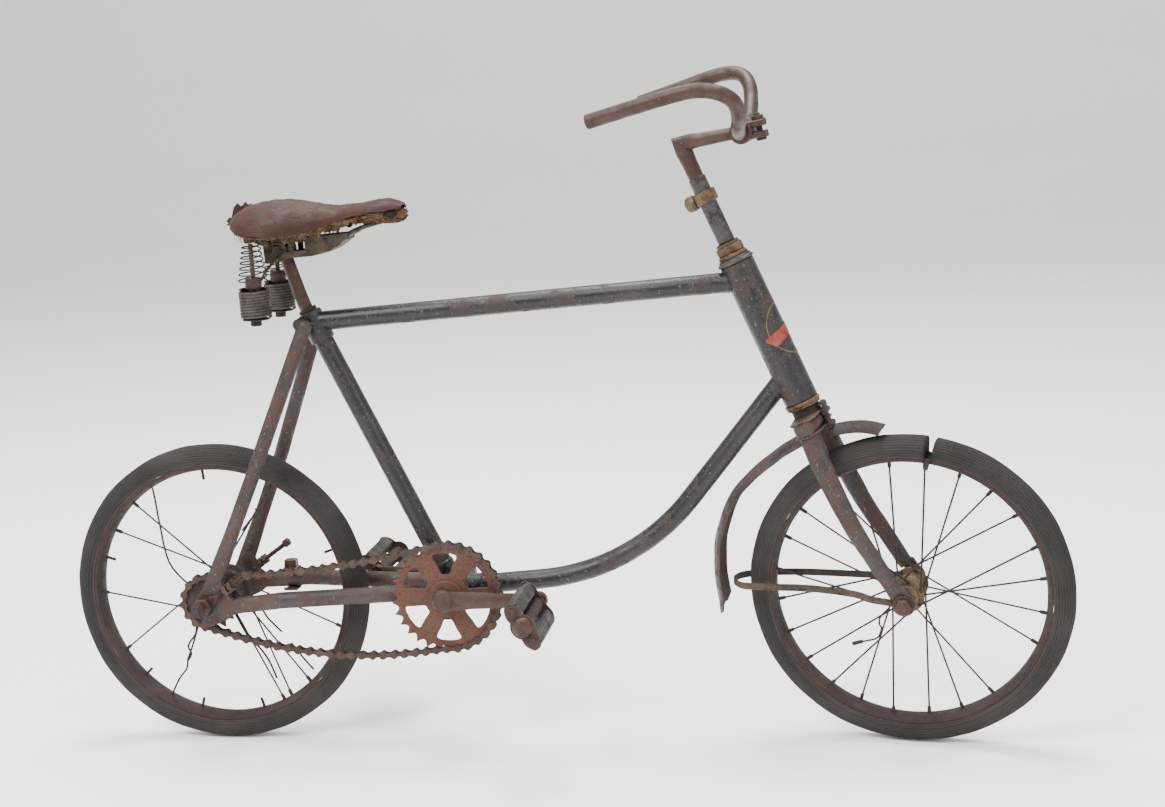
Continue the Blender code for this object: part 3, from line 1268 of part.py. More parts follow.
def saddle_spring(side_name, parent):
    """One rear spring: a rod, the tight lower coil as its outer shape, a cup and the thin open coil."""
    side = SIDES[side_name]
    foot = Vector((SPRING_X, side * SPRING_Y, 0))
    top = REAR_BAR_Z - 0.0035 - GAP
    pieces = [
        drum(foot + Vector((0, 0, COIL_LOW)), foot + Vector((0, 0, COIL_HIGH)), COIL_RADIUS, 18),
        drum(foot + Vector((0, 0, COIL_LOW - 0.008)), foot + Vector((0, 0, top)), 0.0045, 8),
        drum(foot + Vector((0, 0, COIL_HIGH - 0.002)), foot + Vector((0, 0, COIL_HIGH + 0.012)), 0.0125, 14),
    ]
    turns, steps = 5, 9
    path = []
    for k in range(turns * steps + 1):
        share = k / (turns * steps)
        radius = THIN_COIL_LOW_RADIUS + (THIN_COIL_HIGH_RADIUS - THIN_COIL_LOW_RADIUS) * share
        angle = tau * turns * share
        z = COIL_HIGH + 0.004 + (top - 0.002 - COIL_HIGH - 0.004) * share
        path.append(foot + Vector((radius * cos(angle), radius * sin(angle), z)))
    path.insert(0, foot + Vector((0.011, 0, COIL_HIGH + 0.004)))
    pieces.append(swept(path, 0.0011, 4))
    finish(joined(f"{side_name}_saddle_spring", pieces), "dark_rust", parent)


def build_bicycle():
    clear_scene()
    carried = empty("bicycle", -SADDLE_TOP)
    frame = empty("frame", (0, 0, 0), carried)
    rear_hub = empty("rear_wheel_axis", REAR_AXLE, frame)
    drive_hub = empty("rear_sprocket_axis", REAR_AXLE, frame)
    crank_axis = empty("crank_axis", BRACKET, frame)
    steering = empty("steering_axis", HEAD_TOP, frame)
    steering.rotation_mode = "QUATERNION"
    steering.rotation_quaternion = Matrix.Rotation(STEER_REST, 3, UP_THE_HEAD).to_quaternion()
    stem_axis = empty("stem_axis", (0, 0, 0), steering)
    stem_axis.rotation_mode = "QUATERNION"
    stem_axis.rotation_quaternion = Matrix.Rotation(STEM_SLIP, 3, UP_THE_HEAD).to_quaternion()
    front_hub = empty("front_wheel_axis", FRONT_AXLE - HEAD_TOP, steering)

    head_tube(frame)
    seat_cluster(frame)
    frame_tubes(frame)
    for side_name in SIDES:
        rear_triangle(side_name, frame)
        chain_adjuster(side_name, frame)
        pedal(side_name, crank_axis)
        saddle_spring(side_name, frame)
    rear_axle_set(frame)
    chain(frame)
    crankset(crank_axis)
    driver(drive_hub)
    rear_wheel(rear_hub)
    saddle_leather(frame)
    saddle_frame(frame)

    head_races(frame, steering)
    fork(steering)
    front_axle(steering, FRONT_AXLE - HEAD_TOP)
    mudguard(steering)
    mudguard_stay(steering)
    stem(stem_axis)
    handlebar(stem_axis)
    front_wheel(front_hub)


build_bicycle()
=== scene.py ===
"""The looks of a child's bicycle of the old safety pattern, left out for decades: rusted, torn, incomplete.

Sizes are in metres. Pieces are laid out from the point on the ground under the rear axle, with X forward,
Z up and Y to the rider's left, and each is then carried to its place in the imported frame.
"""

import logging
from dataclasses import dataclass, field
from enum import Enum
from math import atan2, cos, hypot, pi, radians, sin, sqrt, tau

import bmesh
import bpy
import numpy as np
from mathutils import Matrix, Vector
from mathutils.geometry import tessellate_polygon


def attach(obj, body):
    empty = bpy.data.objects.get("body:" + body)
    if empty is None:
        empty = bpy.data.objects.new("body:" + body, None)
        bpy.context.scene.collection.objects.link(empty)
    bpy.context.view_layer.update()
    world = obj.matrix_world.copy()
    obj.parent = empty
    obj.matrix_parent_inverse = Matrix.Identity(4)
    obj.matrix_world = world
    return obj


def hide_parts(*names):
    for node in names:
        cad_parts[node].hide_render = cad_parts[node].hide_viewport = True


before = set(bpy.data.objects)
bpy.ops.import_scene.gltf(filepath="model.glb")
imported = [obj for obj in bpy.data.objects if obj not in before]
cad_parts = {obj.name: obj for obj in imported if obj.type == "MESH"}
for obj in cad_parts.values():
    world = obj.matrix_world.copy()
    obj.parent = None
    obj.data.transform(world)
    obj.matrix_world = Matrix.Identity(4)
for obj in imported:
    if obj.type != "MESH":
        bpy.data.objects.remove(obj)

log = logging.getLogger("bicycle")

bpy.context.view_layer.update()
MM = 0.001

SADDLE_TOP = np.array((0.12, 0.0, 0.631))
REAR_AXLE = np.array((0.0, 0.0, 0.178))
FRONT_AXLE = np.array((0.7947, 0.0, 0.178))
BRACKET = np.array((0.2806, 0.0, 0.183))
SEAT_LUG = np.array((0.1357, 0.0, 0.4945))
HEAD_TOP = np.array((0.6156, 0.0, 0.5456))
HEAD_ANGLE = radians(23.33)
HEAD_LENGTH = 0.1672
UP_THE_HEAD = np.array((-sin(HEAD_ANGLE), 0.0, cos(HEAD_ANGLE)))
AHEAD_OF_HEAD = np.array((cos(HEAD_ANGLE), 0.0, sin(HEAD_ANGLE)))
TO_THE_LEFT = np.array((0.0, 1.0, 0.0))
CRANK_LENGTH = 0.108
CHAIN_Y = -0.043
CHAIN_PITCH = 0.0127
STEERING_TURN = radians(-10)
STEM_TURN = radians(-14)
RIGHT_PEDAL_TILT = radians(57)
LEFT_PEDAL_TILT = radians(35)
SHARP_EDGE = radians(35)


# Places


class Station(Enum):
    """What a piece is laid out on, by the body that it moves with."""

    FRAME = "frame"
    REAR_WHEEL = "rear_wheel"
    REAR_SPROCKET = "rear_sprocket"
    CRANK = "crankset"
    RIGHT_PEDAL = "right_pedal"
    LEFT_PEDAL = "left_pedal"
    STEERING = "steering"
    STEM = "stem"
    FRONT_WHEEL = "front_wheel"

    @property
    def body(self) -> str:
        """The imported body's name; the stem turns with the steering."""
        return "steering" if self is Station.STEM else self.value


def shift(offset: np.ndarray) -> np.ndarray:
    """A 4 by 4 matrix that moves by the offset.

    Args:
        offset: the move along X, Y and Z.

    Returns:
        The matrix.
    """
    matrix = np.eye(4)
    matrix[:3, 3] = offset
    return matrix


def turn(angle: float, axis: np.ndarray, through: np.ndarray = np.zeros(3)) -> np.ndarray:
    """A 4 by 4 matrix that turns by the angle about an axis through a point."""
    rotation = np.array(Matrix.Rotation(angle, 4, Vector(axis)))
    return shift(through) @ rotation @ shift(-np.asarray(through))


def placing(station: Station) -> np.ndarray:
    """Where a station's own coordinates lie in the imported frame.

    Args:
        station: the group that the piece belongs to.

    Returns:
        A 4 by 4 matrix from the piece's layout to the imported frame.
    """
    home = shift(-SADDLE_TOP)
    steering = home @ turn(STEERING_TURN, UP_THE_HEAD, HEAD_TOP)
    crank = home @ shift(BRACKET)
    places = {
        Station.FRAME: home,
        Station.REAR_WHEEL: home @ shift(REAR_AXLE),
        Station.REAR_SPROCKET: home @ shift(REAR_AXLE),
        Station.CRANK: crank,
        Station.RIGHT_PEDAL: crank @ shift(np.array((CRANK_LENGTH, 0, 0))) @ turn(RIGHT_PEDAL_TILT, TO_THE_LEFT),
        Station.LEFT_PEDAL: crank @ shift(np.array((-CRANK_LENGTH, 0, 0))) @ turn(LEFT_PEDAL_TILT, TO_THE_LEFT),
        Station.STEERING: steering,
        Station.STEM: home @ turn(STEM_TURN, UP_THE_HEAD, HEAD_TOP),
        Station.FRONT_WHEEL: steering @ shift(FRONT_AXLE),
    }
    return places[station]


def on_head(drop: float, forward: float = 0.0, y: float = 0.0) -> np.ndarray:
    """The point this far down the head from its top edge, this far ahead of its axis and to the left."""
    return HEAD_TOP - UP_THE_HEAD * drop + AHEAD_OF_HEAD * forward + TO_THE_LEFT * y


# Shapes


@dataclass
class Form:
    """One closed shape: its points, and its faces as arrays that each hold faces of one corner count."""

    points: np.ndarray
    faces: list[np.ndarray]

    def placed(self, matrix: np.ndarray) -> "Form":
        """The same shape carried by a 4 by 4 matrix."""
        return Form(self.points @ matrix[:3, :3].T + matrix[:3, 3], self.faces)


def unit(vectors: np.ndarray) -> np.ndarray:
    """Each vector brought to length one."""
    vectors = np.asarray(vectors, float)
    return vectors / np.linalg.norm(vectors, axis=-1, keepdims=True)


def grid_quads(rows: int, columns: int, wrap_rows: bool = False, wrap_columns: bool = True) -> np.ndarray:
    """The four-cornered faces between neighbouring points of a grid, whose points run row by row.

    Args:
        rows: how many rows of points.
        columns: how many points a row has.
        wrap_rows: whether the last row joins the first.
        wrap_columns: whether each row closes on itself.

    Returns:
        The faces, four point numbers each.
    """
    row = np.arange(rows if wrap_rows else rows - 1)[:, None]
    column = np.arange(columns if wrap_columns else columns - 1)[None, :]
    below, beside = (row + 1) % rows, (column + 1) % columns
    corners = (row * columns + column, row * columns + beside,
               below * columns + beside, below * columns + column)
    return np.stack(corners, axis=-1).reshape(-1, 4)


def smooth_path(points: object, steps: int = 8) -> np.ndarray:
    """A curve through every point: each stretch is a cubic whose end slopes are half its neighbours' chord.

    Args:
        points: the points it passes through.
        steps: the parts that each stretch is divided into.

    Returns:
        The curve's points, row by row.
    """
    points = np.asarray(points, float)
    padded = np.vstack([points[:1], points, points[-1:]])
    p0, p1, p2, p3 = padded[:-3, None], padded[1:-2, None], padded[2:-1, None], padded[3:, None]
    t = (np.arange(steps) / steps)[None, :, None]
    curve = (
        (2 * t**3 - 3 * t**2 + 1) * p1 + (t**3 - 2 * t**2 + t) * (p2 - p0) / 2
        + (3 * t**2 - 2 * t**3) * p2 + (t**3 - t**2) * (p3 - p1) / 2
    )
    return np.vstack([curve.reshape(-1, points.shape[1]), points[-1:]])


def distances(path: np.ndarray) -> np.ndarray:
    """How far along a path each of its points lies."""
    return np.concatenate([[0], np.cumsum(np.linalg.norm(np.diff(path, axis=0), axis=1))])


def bent_path(before: object, corner: object, after: object, radius: float, steps: int = 16) -> np.ndarray:
    """Two straight stretches joined by an arc of this radius at their corner.

    Args:
        before: the first end.
        corner: where the straight stretches would meet.
        after: the last end.
        radius: the arc's radius.
        steps: the parts of the arc.

    Returns:
        The path's points.
    """
    before, corner, after = (np.asarray(p, float) for p in (before, corner, after))
    back, onward = unit(before - corner), unit(after - corner)
    half = np.arccos(np.clip(back @ onward, -1, 1)) / 2
    middle = corner + unit(back + onward) * radius / sin(half)
    start = corner + back * radius / np.tan(half) - middle
    end = corner + onward * radius / np.tan(half) - middle
    sweep = np.arccos(np.clip(unit(start) @ unit(end), -1, 1))
    share = np.linspace(0, 1, steps + 1)[:, None]
    bend = (np.sin((1 - share) * sweep) * start + np.sin(share * sweep) * end) / sin(sweep)
    return np.vstack([before, middle + bend, after])


def along_frames(path: np.ndarray, across: object, closed: bool = False) -> tuple[np.ndarray, np.ndarray]:
    """Two directions square to a path at each of its points: the one nearest across, and the one over it.

    Args:
        path: the points.
        across: the wished direction.
        closed: whether the path runs back into its start.

    Returns:
        Both directions, a row a point.
    """
    if closed:
        ahead = unit(np.roll(path, -1, axis=0) - np.roll(path, 1, axis=0))
    else:
        ahead = unit(np.vstack([path[1] - path[0], path[2:] - path[:-2], path[-1] - path[-2]]))
    side = np.broadcast_to(np.asarray(across, float), path.shape)
    side = unit(side - ahead * np.sum(side * ahead, axis=1, keepdims=True))
    return side, np.cross(ahead, side)


def squarish(angle: np.ndarray, power: float) -> tuple[np.ndarray, np.ndarray]:
    """The cosine and sine of angles, each raised to a power with its sign kept: below 1, a circle grows square."""
    u, v = np.cos(angle), np.sin(angle)
    return np.sign(u) * np.abs(u) ** power, np.sign(v) * np.abs(v) ** power


def swept(
    path: object, width: object, height: object = None, sides: int = 20, across: object = (0, 1, 0),
    power: float = 2.0, closed: bool = False,
) -> Form:
    """A bar along a path. Its section is cos and sin of the angle, each raised to 2 / power, times the half sizes.

    Args:
        path: the points of its middle line.
        width: half its size along across, one number or one a point.
        height: half its size square to that, the same as width if left out.
        sides: the points round its section.
        across: the direction that the width lies along.
        power: 2 gives an ellipse, and a larger number a squarer section.
        closed: whether the path runs back into its start.

    Returns:
        The closed shape.
    """
    path = np.asarray(path, float)
    count = len(path)
    width = np.broadcast_to(width, count)[:, None, None]
    height = width if height is None else np.broadcast_to(height, count)[:, None, None]
    side, lift = along_frames(path, across, closed)
    angle = tau * (np.arange(sides) + 0.5) / sides
    u, v = squarish(angle, 2 / power)
    points = path[:, None] + side[:, None] * u[None, :, None] * width + lift[:, None] * v[None, :, None] * height
    faces = [grid_quads(count, sides, wrap_rows=closed)]
    if not closed:
        faces += [np.arange(sides)[None, ::-1], np.arange(sides)[None, :] + (count - 1) * sides]
    return Form(points.reshape(-1, 3), faces)


def pipe(path: np.ndarray, radius: float, wall: float, depth: int, sides: int = 28) -> Form:
    """A tube with both ends open for some rows: its skin runs out along the path and back in at each end.

    Args:
        path: its middle line.
        radius: its outer radius.
        wall: its wall.
        depth: how many rows of the path it is open for.
        sides: the points round it.

    Returns:
        The closed shape.
    """
    count = len(path)
    side, lift = along_frames(path, (0, 0, 1))
    back = np.arange(count - 1, count - 2 - depth, -1)
    rows = np.concatenate([np.arange(depth, -1, -1), np.arange(count), back])
    inner = np.full(depth + 1, radius - wall)
    reach = np.concatenate([inner, np.full(count, radius), inner])[:, None, None]
    angle = (tau * np.arange(sides) / sides)[None, :, None]
    points = path[rows, None] + (side[rows, None] * np.cos(angle) + lift[rows, None] * np.sin(angle)) * reach
    faces = [grid_quads(len(rows), sides), np.arange(sides)[None, ::-1]]
    faces.append(np.arange(sides)[None, :] + (len(rows) - 1) * sides)
    return Form(points.reshape(-1, 3), faces)


def mirrored(right: list[tuple[float, float]]) -> list[tuple[float, float]]:
    """A closed profile from its right half: the same (radius, y) points, then those on the left back again."""
    return right + [(radius, -y) for radius, y in reversed(right)]


def carried_round(profile: object, angle: np.ndarray) -> np.ndarray:
    """Each (radius, y) point of a profile at all of these angles round the Y axis, as one list of points."""
    radius, y = np.asarray(profile, float).T[:, :, None]
    return np.stack([radius * np.cos(angle), y + 0 * angle, radius * np.sin(angle)], axis=-1).reshape(-1, 3)


def ring(profile: object, sides: int = 96, angles: np.ndarray | None = None) -> Form:
    """A closed profile of (radius, y) carried round the Y axis.

    Args:
        profile: the section's points, in order round it.
        sides: the steps round the axis.
        angles: the steps' own angles, even ones if left out.

    Returns:
        The closed shape.
    """
    angle = tau * np.arange(sides) / sides if angles is None else angles
    return Form(carried_round(profile, angle), [grid_quads(len(profile), len(angle), wrap_rows=True)])


def spun(profile: object, sides: int = 28) -> Form:
    """An open profile of (radius, y) carried round the Y axis, with a flat face at each end.

    Args:
        profile: the points from end to end.
        sides: the steps round the axis.

    Returns:
        The closed shape.
    """
    last = (len(profile) - 1) * sides
    faces = [grid_quads(len(profile), sides), np.arange(sides)[None, ::-1], np.arange(sides)[None, :] + last]
    return Form(carried_round(profile, tau * np.arange(sides) / sides), faces)


def facing(start: object, end: object) -> np.ndarray:
    """The matrix that lays the Y axis from start towards end.

    Args:
        start: where the axis begins.
        end: the point it looks at.

    Returns:
        The 4 by 4 matrix.
    """
    start, end = np.asarray(start, float), np.asarray(end, float)
    y = unit(end - start)
    guess = np.array((0.0, 0.0, 1.0)) if abs(y[2]) < 0.9 else np.array((1.0, 0.0, 0.0))
    x = unit(np.cross(y, guess))
    matrix = np.eye(4)
    matrix[:3] = np.column_stack([x, y, np.cross(x, y), start])
    return matrix


def span(start: object, end: object) -> float:
    """The distance from one point to another."""
    return float(np.linalg.norm(np.asarray(end, float) - np.asarray(start, float)))


def rod(start: object, end: object, radius: float, edge: float = 0.0005, sides: int = 28) -> Form:
    """A round bar from start to end, its two rims broken by a small slope.

    Args:
        start: the middle of one end.
        end: the middle of the other.
        radius: its radius.
        edge: the slope's size.
        sides: the steps round it.

    Returns:
        The closed shape.
    """
    length = span(start, end)
    profile = ((radius - edge, 0), (radius, edge), (radius, length - edge), (radius - edge, length))
    return spun(profile, sides).placed(facing(start, end))


def turned(start: object, end: object, profile: object, sides: int = 28) -> Form:
    """A turned shape: the profile's (radius, distance from start) carried round the line to end."""
    return spun(profile, sides).placed(facing(start, end))


def nut(start: object, end: object, corner: float, dome: float = 0.0) -> Form:
    """A six-sided nut from start to end, its corners chamfered, with a low dome over it if asked.

    Args:
        start: the middle of its seat.
        end: the middle of its top.
        corner: the radius over its corners.
        dome: the dome's height.

    Returns:
        The closed shape.
    """
    length = span(start, end)
    cut = corner * 0.09
    profile = [(corner - cut, 0), (corner, cut), (corner, length - cut), (corner - cut, length)]
    if dome:
        profile += [(corner * 0.7, length + dome * 0.7), (corner * 0.35, length + dome)]
    return spun(profile, 6).placed(facing(start, end))


def arc(radius: object, angles: np.ndarray) -> np.ndarray:
    """The (x, z) points of a circle, or of any radius a point, at these angles."""
    return np.column_stack([radius * np.cos(angles), radius * np.sin(angles)])


def circle(radius: float, sides: int) -> np.ndarray:
    """Even (x, z) points round a whole circle."""
    return arc(radius, tau * np.arange(sides) / sides)


def thread(start: object, end: object, radius: float, pitch: float = 0.001, sides: int = 16) -> Form:
    """A threaded bar, its crests drawn as rings a pitch apart.

    Args:
        start: the middle of one end.
        end: the middle of the other.
        radius: the radius over its crests.
        pitch: from crest to crest.
        sides: the steps round it.

    Returns:
        The closed shape.
    """
    length = span(start, end)
    count = max(2, int(length / pitch))
    along = np.linspace(0, length, 2 * count + 1)
    depth = np.where(np.arange(2 * count + 1) % 2, 0.0, pitch * 0.45)
    return spun(np.column_stack([radius - depth, along]), sides).placed(facing(start, end))


def plate(outline: object, low: float, high: float, holes: tuple = (), edge: float = 0.0) -> Form:
    """A flat plate with holes: outlines of (x, z), cut into triangles, from low to high along Y.

    Args:
        outline: the outer edge.
        low: its lower y.
        high: its higher y.
        holes: the edges of its holes.
        edge: the slope that breaks the outer rims.

    Returns:
        The closed shape.
    """
    loops = [np.asarray(loop, float) for loop in (outline, *holes)]
    flat = np.vstack(loops)
    top = np.array(tessellate_polygon([[Vector((x, z, 0)) for x, z in loop] for loop in loops]))
    count = len(flat)
    shrunk = flat.copy()
    if edge:
        first = loops[0]
        inward = unit(np.roll(first, -1, axis=0) - np.roll(first, 1, axis=0))[:, ::-1] * (-1, 1)
        area = np.sum(first[:, 0] * np.roll(first[:, 1], -1) - first[:, 1] * np.roll(first[:, 0], -1))
        shrunk[: len(first)] += inward * edge * np.sign(area)
    levels = ((low, shrunk), (low + edge, flat), (high - edge, flat), (high, shrunk)) if edge else (
        (low, flat), (high, flat))
    points = np.vstack([np.column_stack([xz[:, 0], np.full(count, y), xz[:, 1]]) for y, xz in levels])
    faces = [top, top[:, ::-1] + count * (len(levels) - 1)]
    start = 0
    for loop in loops:
        around = np.arange(len(loop))
        after = (around + 1) % len(loop)
        for level in range(len(levels) - 1):
            base = start + count * level
            walls = (base + around, base + after, base + count + after, base + count + around)
            faces.append(np.stack(walls, axis=-1))
        start += len(loop)
    return Form(points, faces)


def sheet(surface: np.ndarray, thickness: float) -> Form:
    """A thin skin: a grid of points and its copy set back along the surface's normal, joined round the rim.

    Args:
        surface: the grid of points.
        thickness: the skin's thickness.

    Returns:
        The closed shape.
    """
    down = np.gradient(surface, axis=0)
    along = np.gradient(surface, axis=1)
    normal = unit(np.cross(down, along))
    rows, columns = surface.shape[:2]
    count = rows * columns
    points = np.vstack([surface.reshape(-1, 3), (surface - normal * thickness).reshape(-1, 3)])
    top = grid_quads(rows, columns, wrap_columns=False)
    index = np.arange(count).reshape(rows, columns)
    rim = np.concatenate([index[0, :-1], index[:-1, -1], index[-1, :0:-1], index[:0:-1, 0]])
    after = np.roll(rim, -1)
    walls = np.stack([rim, after, after + count, rim + count], axis=-1)
    return Form(points, [top, top[:, ::-1] + count, walls])


def coil(
    low: object, high: object, radii: tuple[float, float], turns: float, wire: float, bunch: float = 1.0,
    tip: float = 0.0,
) -> Form:
    """A coil spring: a wire along a helix between two points, its radius changing evenly from low to high.

    Args:
        low: the middle of its lowest turn.
        high: the middle of its highest turn.
        radii: its radius at the low and at the high end.
        turns: how many turns it has.
        wire: the wire's radius.
        bunch: above 1, the turns lie closer at the low end.
        tip: how far each turn rises from its right side to its left, as a share of its width.

    Returns:
        The closed shape.
    """
    low, high = np.asarray(low, float), np.asarray(high, float)
    share = np.linspace(0, 1, int(turns * 26) + 1)[:, None]
    angle = tau * turns * share
    radius = radii[0] + (radii[1] - radii[0]) * share
    out = np.hstack([np.cos(angle), np.sin(angle), tip * np.sin(angle)])
    path = low + (high - low) * share**bunch + out * radius
    return swept(path, wire, sides=8, across=out)


def unevenness(points: np.ndarray, length: float, seed: float = 0.0) -> np.ndarray:
    """A smooth bumpy number from -1 to 1 at each point: a sum of sines of its coordinates over the length.

    Args:
        points: the places.
        length: the length of a bump.
        seed: a number that shifts the pattern.

    Returns:
        One number a point.
    """
    x, y, z = (points[..., axis] * tau / length for axis in range(3))
    one = np.sin(x + 1.7 * np.sin(z * 0.7 + seed) + seed) * np.cos(y * 1.1 - seed)
    two = np.sin(z * 1.3 + 2.1 * np.sin(x * 0.6 - seed)) * np.cos(x * 0.8 + y + seed * 2)
    return (one + two) / 2


# Finishes


def linear(colour: str) -> tuple[float, float, float, float]:
    """The linear colour, with full opacity, of an sRGB hex value such as #8d5a41.

    Args:
        colour: the hex value.

    Returns:
        Red, green, blue and opacity.
    """
    channels = np.array([int(colour[k : k + 2], 16) for k in (1, 3, 5)]) / 255
    red, green, blue = np.where(channels <= 0.04045, channels / 12.92, ((channels + 0.055) / 1.055) ** 2.4)
    return float(red), float(green), float(blue), 1.0


def add_node(tree: bpy.types.NodeTree, kind: str, settings: dict | None = None, links: dict | None = None) -> object:
    """Adds a node to a material's tree.

    Args:
        tree: the material's node tree.
        kind: the node's type name.
        settings: attributes by name, and input values by the input's name or number.
        links: output sockets by the name or number of the input that each feeds.

    Returns:
        The node.
    """
    node = tree.nodes.new(kind)
    for key, value in (settings or {}).items():
        if isinstance(key, str) and hasattr(node, key):
            setattr(node, key, value)
        else:
            node.inputs[key].default_value = value
    for key, socket in (links or {}).items():
        tree.links.new(socket, node.inputs[key])
    return node


def per_metre(size_mm: float) -> float:
    """The pattern scale whose features are about this many millimetres wide."""
    return 1.0 / (size_mm * MM)


@dataclass(frozen=True)
class Finish:
    """A weathered surface: a ground colour, broad patches over it, small spots, thin scratches and settled dirt.

    Colours are sRGB hex. Sizes of pattern are in millimetres, and shares are parts of the surface from 0 to 1.
    Depth is what the grain multiplies the colour by, at its least and at its most. Gloss is how much light the
    surface itself throws back.
    """

    name: str
    slot: str
    ground: str
    patch: str
    spot: str
    dirt: str
    patch_mm: float = 18.0
    patch_share: float = 0.5
    patch_edge: float = 0.05
    spot_mm: float = 2.5
    spot_share: float = 0.25
    dirt_share: float = 0.25
    scratch_share: float = 0.0
    scratch: str = "#b9a9a0"
    roughness: tuple[float, float] = (0.5, 0.88)
    metallic: float = 0.0
    grain_mm: float = 0.8
    relief_mm: float = 0.25
    patch_relief_mm: float = 0.35
    stretch: tuple[float, float, float] = (1.0, 1.0, 1.0)
    depth: tuple[float, float] = (0.34, 0.7)
    gloss: float = 0.3
    spot_edge: float = 0.035
    dirt_edge: float = 0.14
    dirt_strength: float = 0.55
    noise_reach: float = 0.42

    def _threshold(self, tree: bpy.types.NodeTree, value: object, share: float, edge: float) -> object:
        """A mask socket: 1 where the noise is in its highest share, with an edge this soft.

        Args:
            tree: the material's node tree.
            value: the noise's socket.
            share: the share that it covers.
            edge: how soft its edge is.

        Returns:
            The mask's socket.
        """
        middle = 0.5 + (0.5 - share) * self.noise_reach
        settings = {"From Min": middle - edge, "From Max": middle + edge, "clamp": True}
        return add_node(tree, "ShaderNodeMapRange", settings, {"Value": value}).outputs["Result"]

    def _mixed(self, tree: bpy.types.NodeTree, mask: object, under: object, over: str) -> object:
        """A colour socket: over where the mask is 1, and under elsewhere."""
        links = {0: mask, 6: under}
        return add_node(tree, "ShaderNodeMix", {"data_type": "RGBA", 7: linear(over)}, links).outputs[2]

    def material(self) -> bpy.types.Material:
        """The finish as a material, made once and kept under its name.

        Returns:
            The material.
        """
        found = bpy.data.materials.get(self.name)
        if found:
            return found
        made = bpy.data.materials.new(self.name)
        made.use_nodes = True
        tree = made.node_tree
        shader = tree.nodes["Principled BSDF"]
        coordinates = add_node(tree, "ShaderNodeTexCoord")
        place = add_node(
            tree, "ShaderNodeMapping", {"Scale": self.stretch}, {"Vector": coordinates.outputs["Object"]}
        ).outputs["Vector"]
        broad = self._noise(tree, place, self.patch_mm, 7.0, 0.62)
        fine = self._noise(tree, place, self.spot_mm, 4.0, 0.6)
        grain = self._noise(tree, place, self.grain_mm, 3.0, 0.7)
        wide = self._noise(tree, place, self.patch_mm * 3.5, 3.0, 0.5)
        patches = self._threshold(tree, broad, self.patch_share, self.patch_edge)
        spots = self._threshold(tree, fine, self.spot_share, self.spot_edge)
        soil = self._threshold(tree, wide, self.dirt_share, self.dirt_edge)
        ground = add_node(tree, "ShaderNodeMix", {"data_type": "RGBA", 6: linear(self.ground)}, {0: patches})
        ground.inputs[7].default_value = linear(self.patch)
        colour = self._mixed(tree, spots, ground.outputs[2], self.spot)
        settings = {"operation": "MULTIPLY", 1: self.dirt_strength}
        soft_soil = add_node(tree, "ShaderNodeMath", settings, {0: soil}).outputs[0]
        colour = self._mixed(tree, soft_soil, colour, self.dirt)
        if self.scratch_share:
            colour = self._mixed(tree, self._scratches(tree, place), colour, self.scratch)
        dark, light = self.depth
        shade = add_node(tree, "ShaderNodeMapRange", {"To Min": dark, "To Max": light}, {"Value": grain})
        tint = add_node(
            tree, "ShaderNodeMix", {"data_type": "RGBA", "blend_type": "MULTIPLY", 0: 1.0},
            {6: colour, 7: shade.outputs["Result"]},
        )
        tree.links.new(tint.outputs[2], shader.inputs["Base Color"])
        low, high = self.roughness
        rough = add_node(tree, "ShaderNodeMapRange", {"To Min": low, "To Max": high}, {"Value": patches})
        tree.links.new(rough.outputs["Result"], shader.inputs["Roughness"])
        shader.inputs["Metallic"].default_value = self.metallic
        shader.inputs["Specular IOR Level"].default_value = self.gloss
        self._relief(tree, shader, patches, spots, grain)
        made.diffuse_color = linear(self.ground)
        return made

    def _noise(self, tree: bpy.types.NodeTree, place: object, size_mm: float, detail: float, rough: float) -> object:
        """A noise socket whose features are about this many millimetres wide."""
        settings = {"Scale": per_metre(size_mm), "Detail": detail, "Roughness": rough}
        return add_node(tree, "ShaderNodeTexNoise", settings, {"Vector": place}).outputs["Fac"]

    def _scratches(self, tree: bpy.types.NodeTree, place: object) -> object:
        """A mask socket of long thin marks: the middle values of a noise drawn out along one direction.

        Args:
            tree: the material's node tree.
            place: the socket of the place on the object.

        Returns:
            The mask's socket.
        """
        drawn = add_node(tree, "ShaderNodeMapping", {"Scale": (1.0, 1.0, 0.09), "Rotation": (0.2, 0.35, 0.0)},
                         {"Vector": place}).outputs["Vector"]
        noise = self._noise(tree, drawn, 3.2, 5.0, 0.7)
        return self._threshold(tree, noise, self.scratch_share, 0.02)

    def _relief(self, tree: bpy.types.NodeTree, shader: object, patches: object, spots: object, grain: object) -> None:
        """Raises the patches and spots as scale and gives the whole its grain.

        Args:
            tree: the material's node tree.
            shader: the shader that takes the normal.
            patches: the patches' mask.
            spots: the spots' mask.
            grain: the grain's socket.
        """
        scale = add_node(tree, "ShaderNodeBump", {"Strength": 1.0, "Distance": self.patch_relief_mm * MM},
                         {"Height": patches})
        pits = add_node(tree, "ShaderNodeBump", {"Strength": 0.8, "Distance": self.relief_mm * MM},
                        {"Height": spots, "Normal": scale.outputs["Normal"]})
        tooth = add_node(tree, "ShaderNodeBump", {"Strength": 1.0, "Distance": self.relief_mm * MM},
                         {"Height": grain, "Normal": pits.outputs["Normal"]})
        tree.links.new(tooth.outputs["Normal"], shader.inputs["Normal"])


# Stove enamel on steel, black gone grey with age: a soft gleam on a film that breaks into rust at every chip.
WORN_ENAMEL = Finish(
    "stove_enamel_worn", "enamel", "#272528", "#453631", "#8f8a84", "#4d4744",
    patch_mm=26, patch_share=0.3, spot_mm=2.4, spot_share=0.1, dirt_share=0.16, roughness=(0.26, 0.75),
    scratch_share=0.05, scratch="#7d7b7b",
)
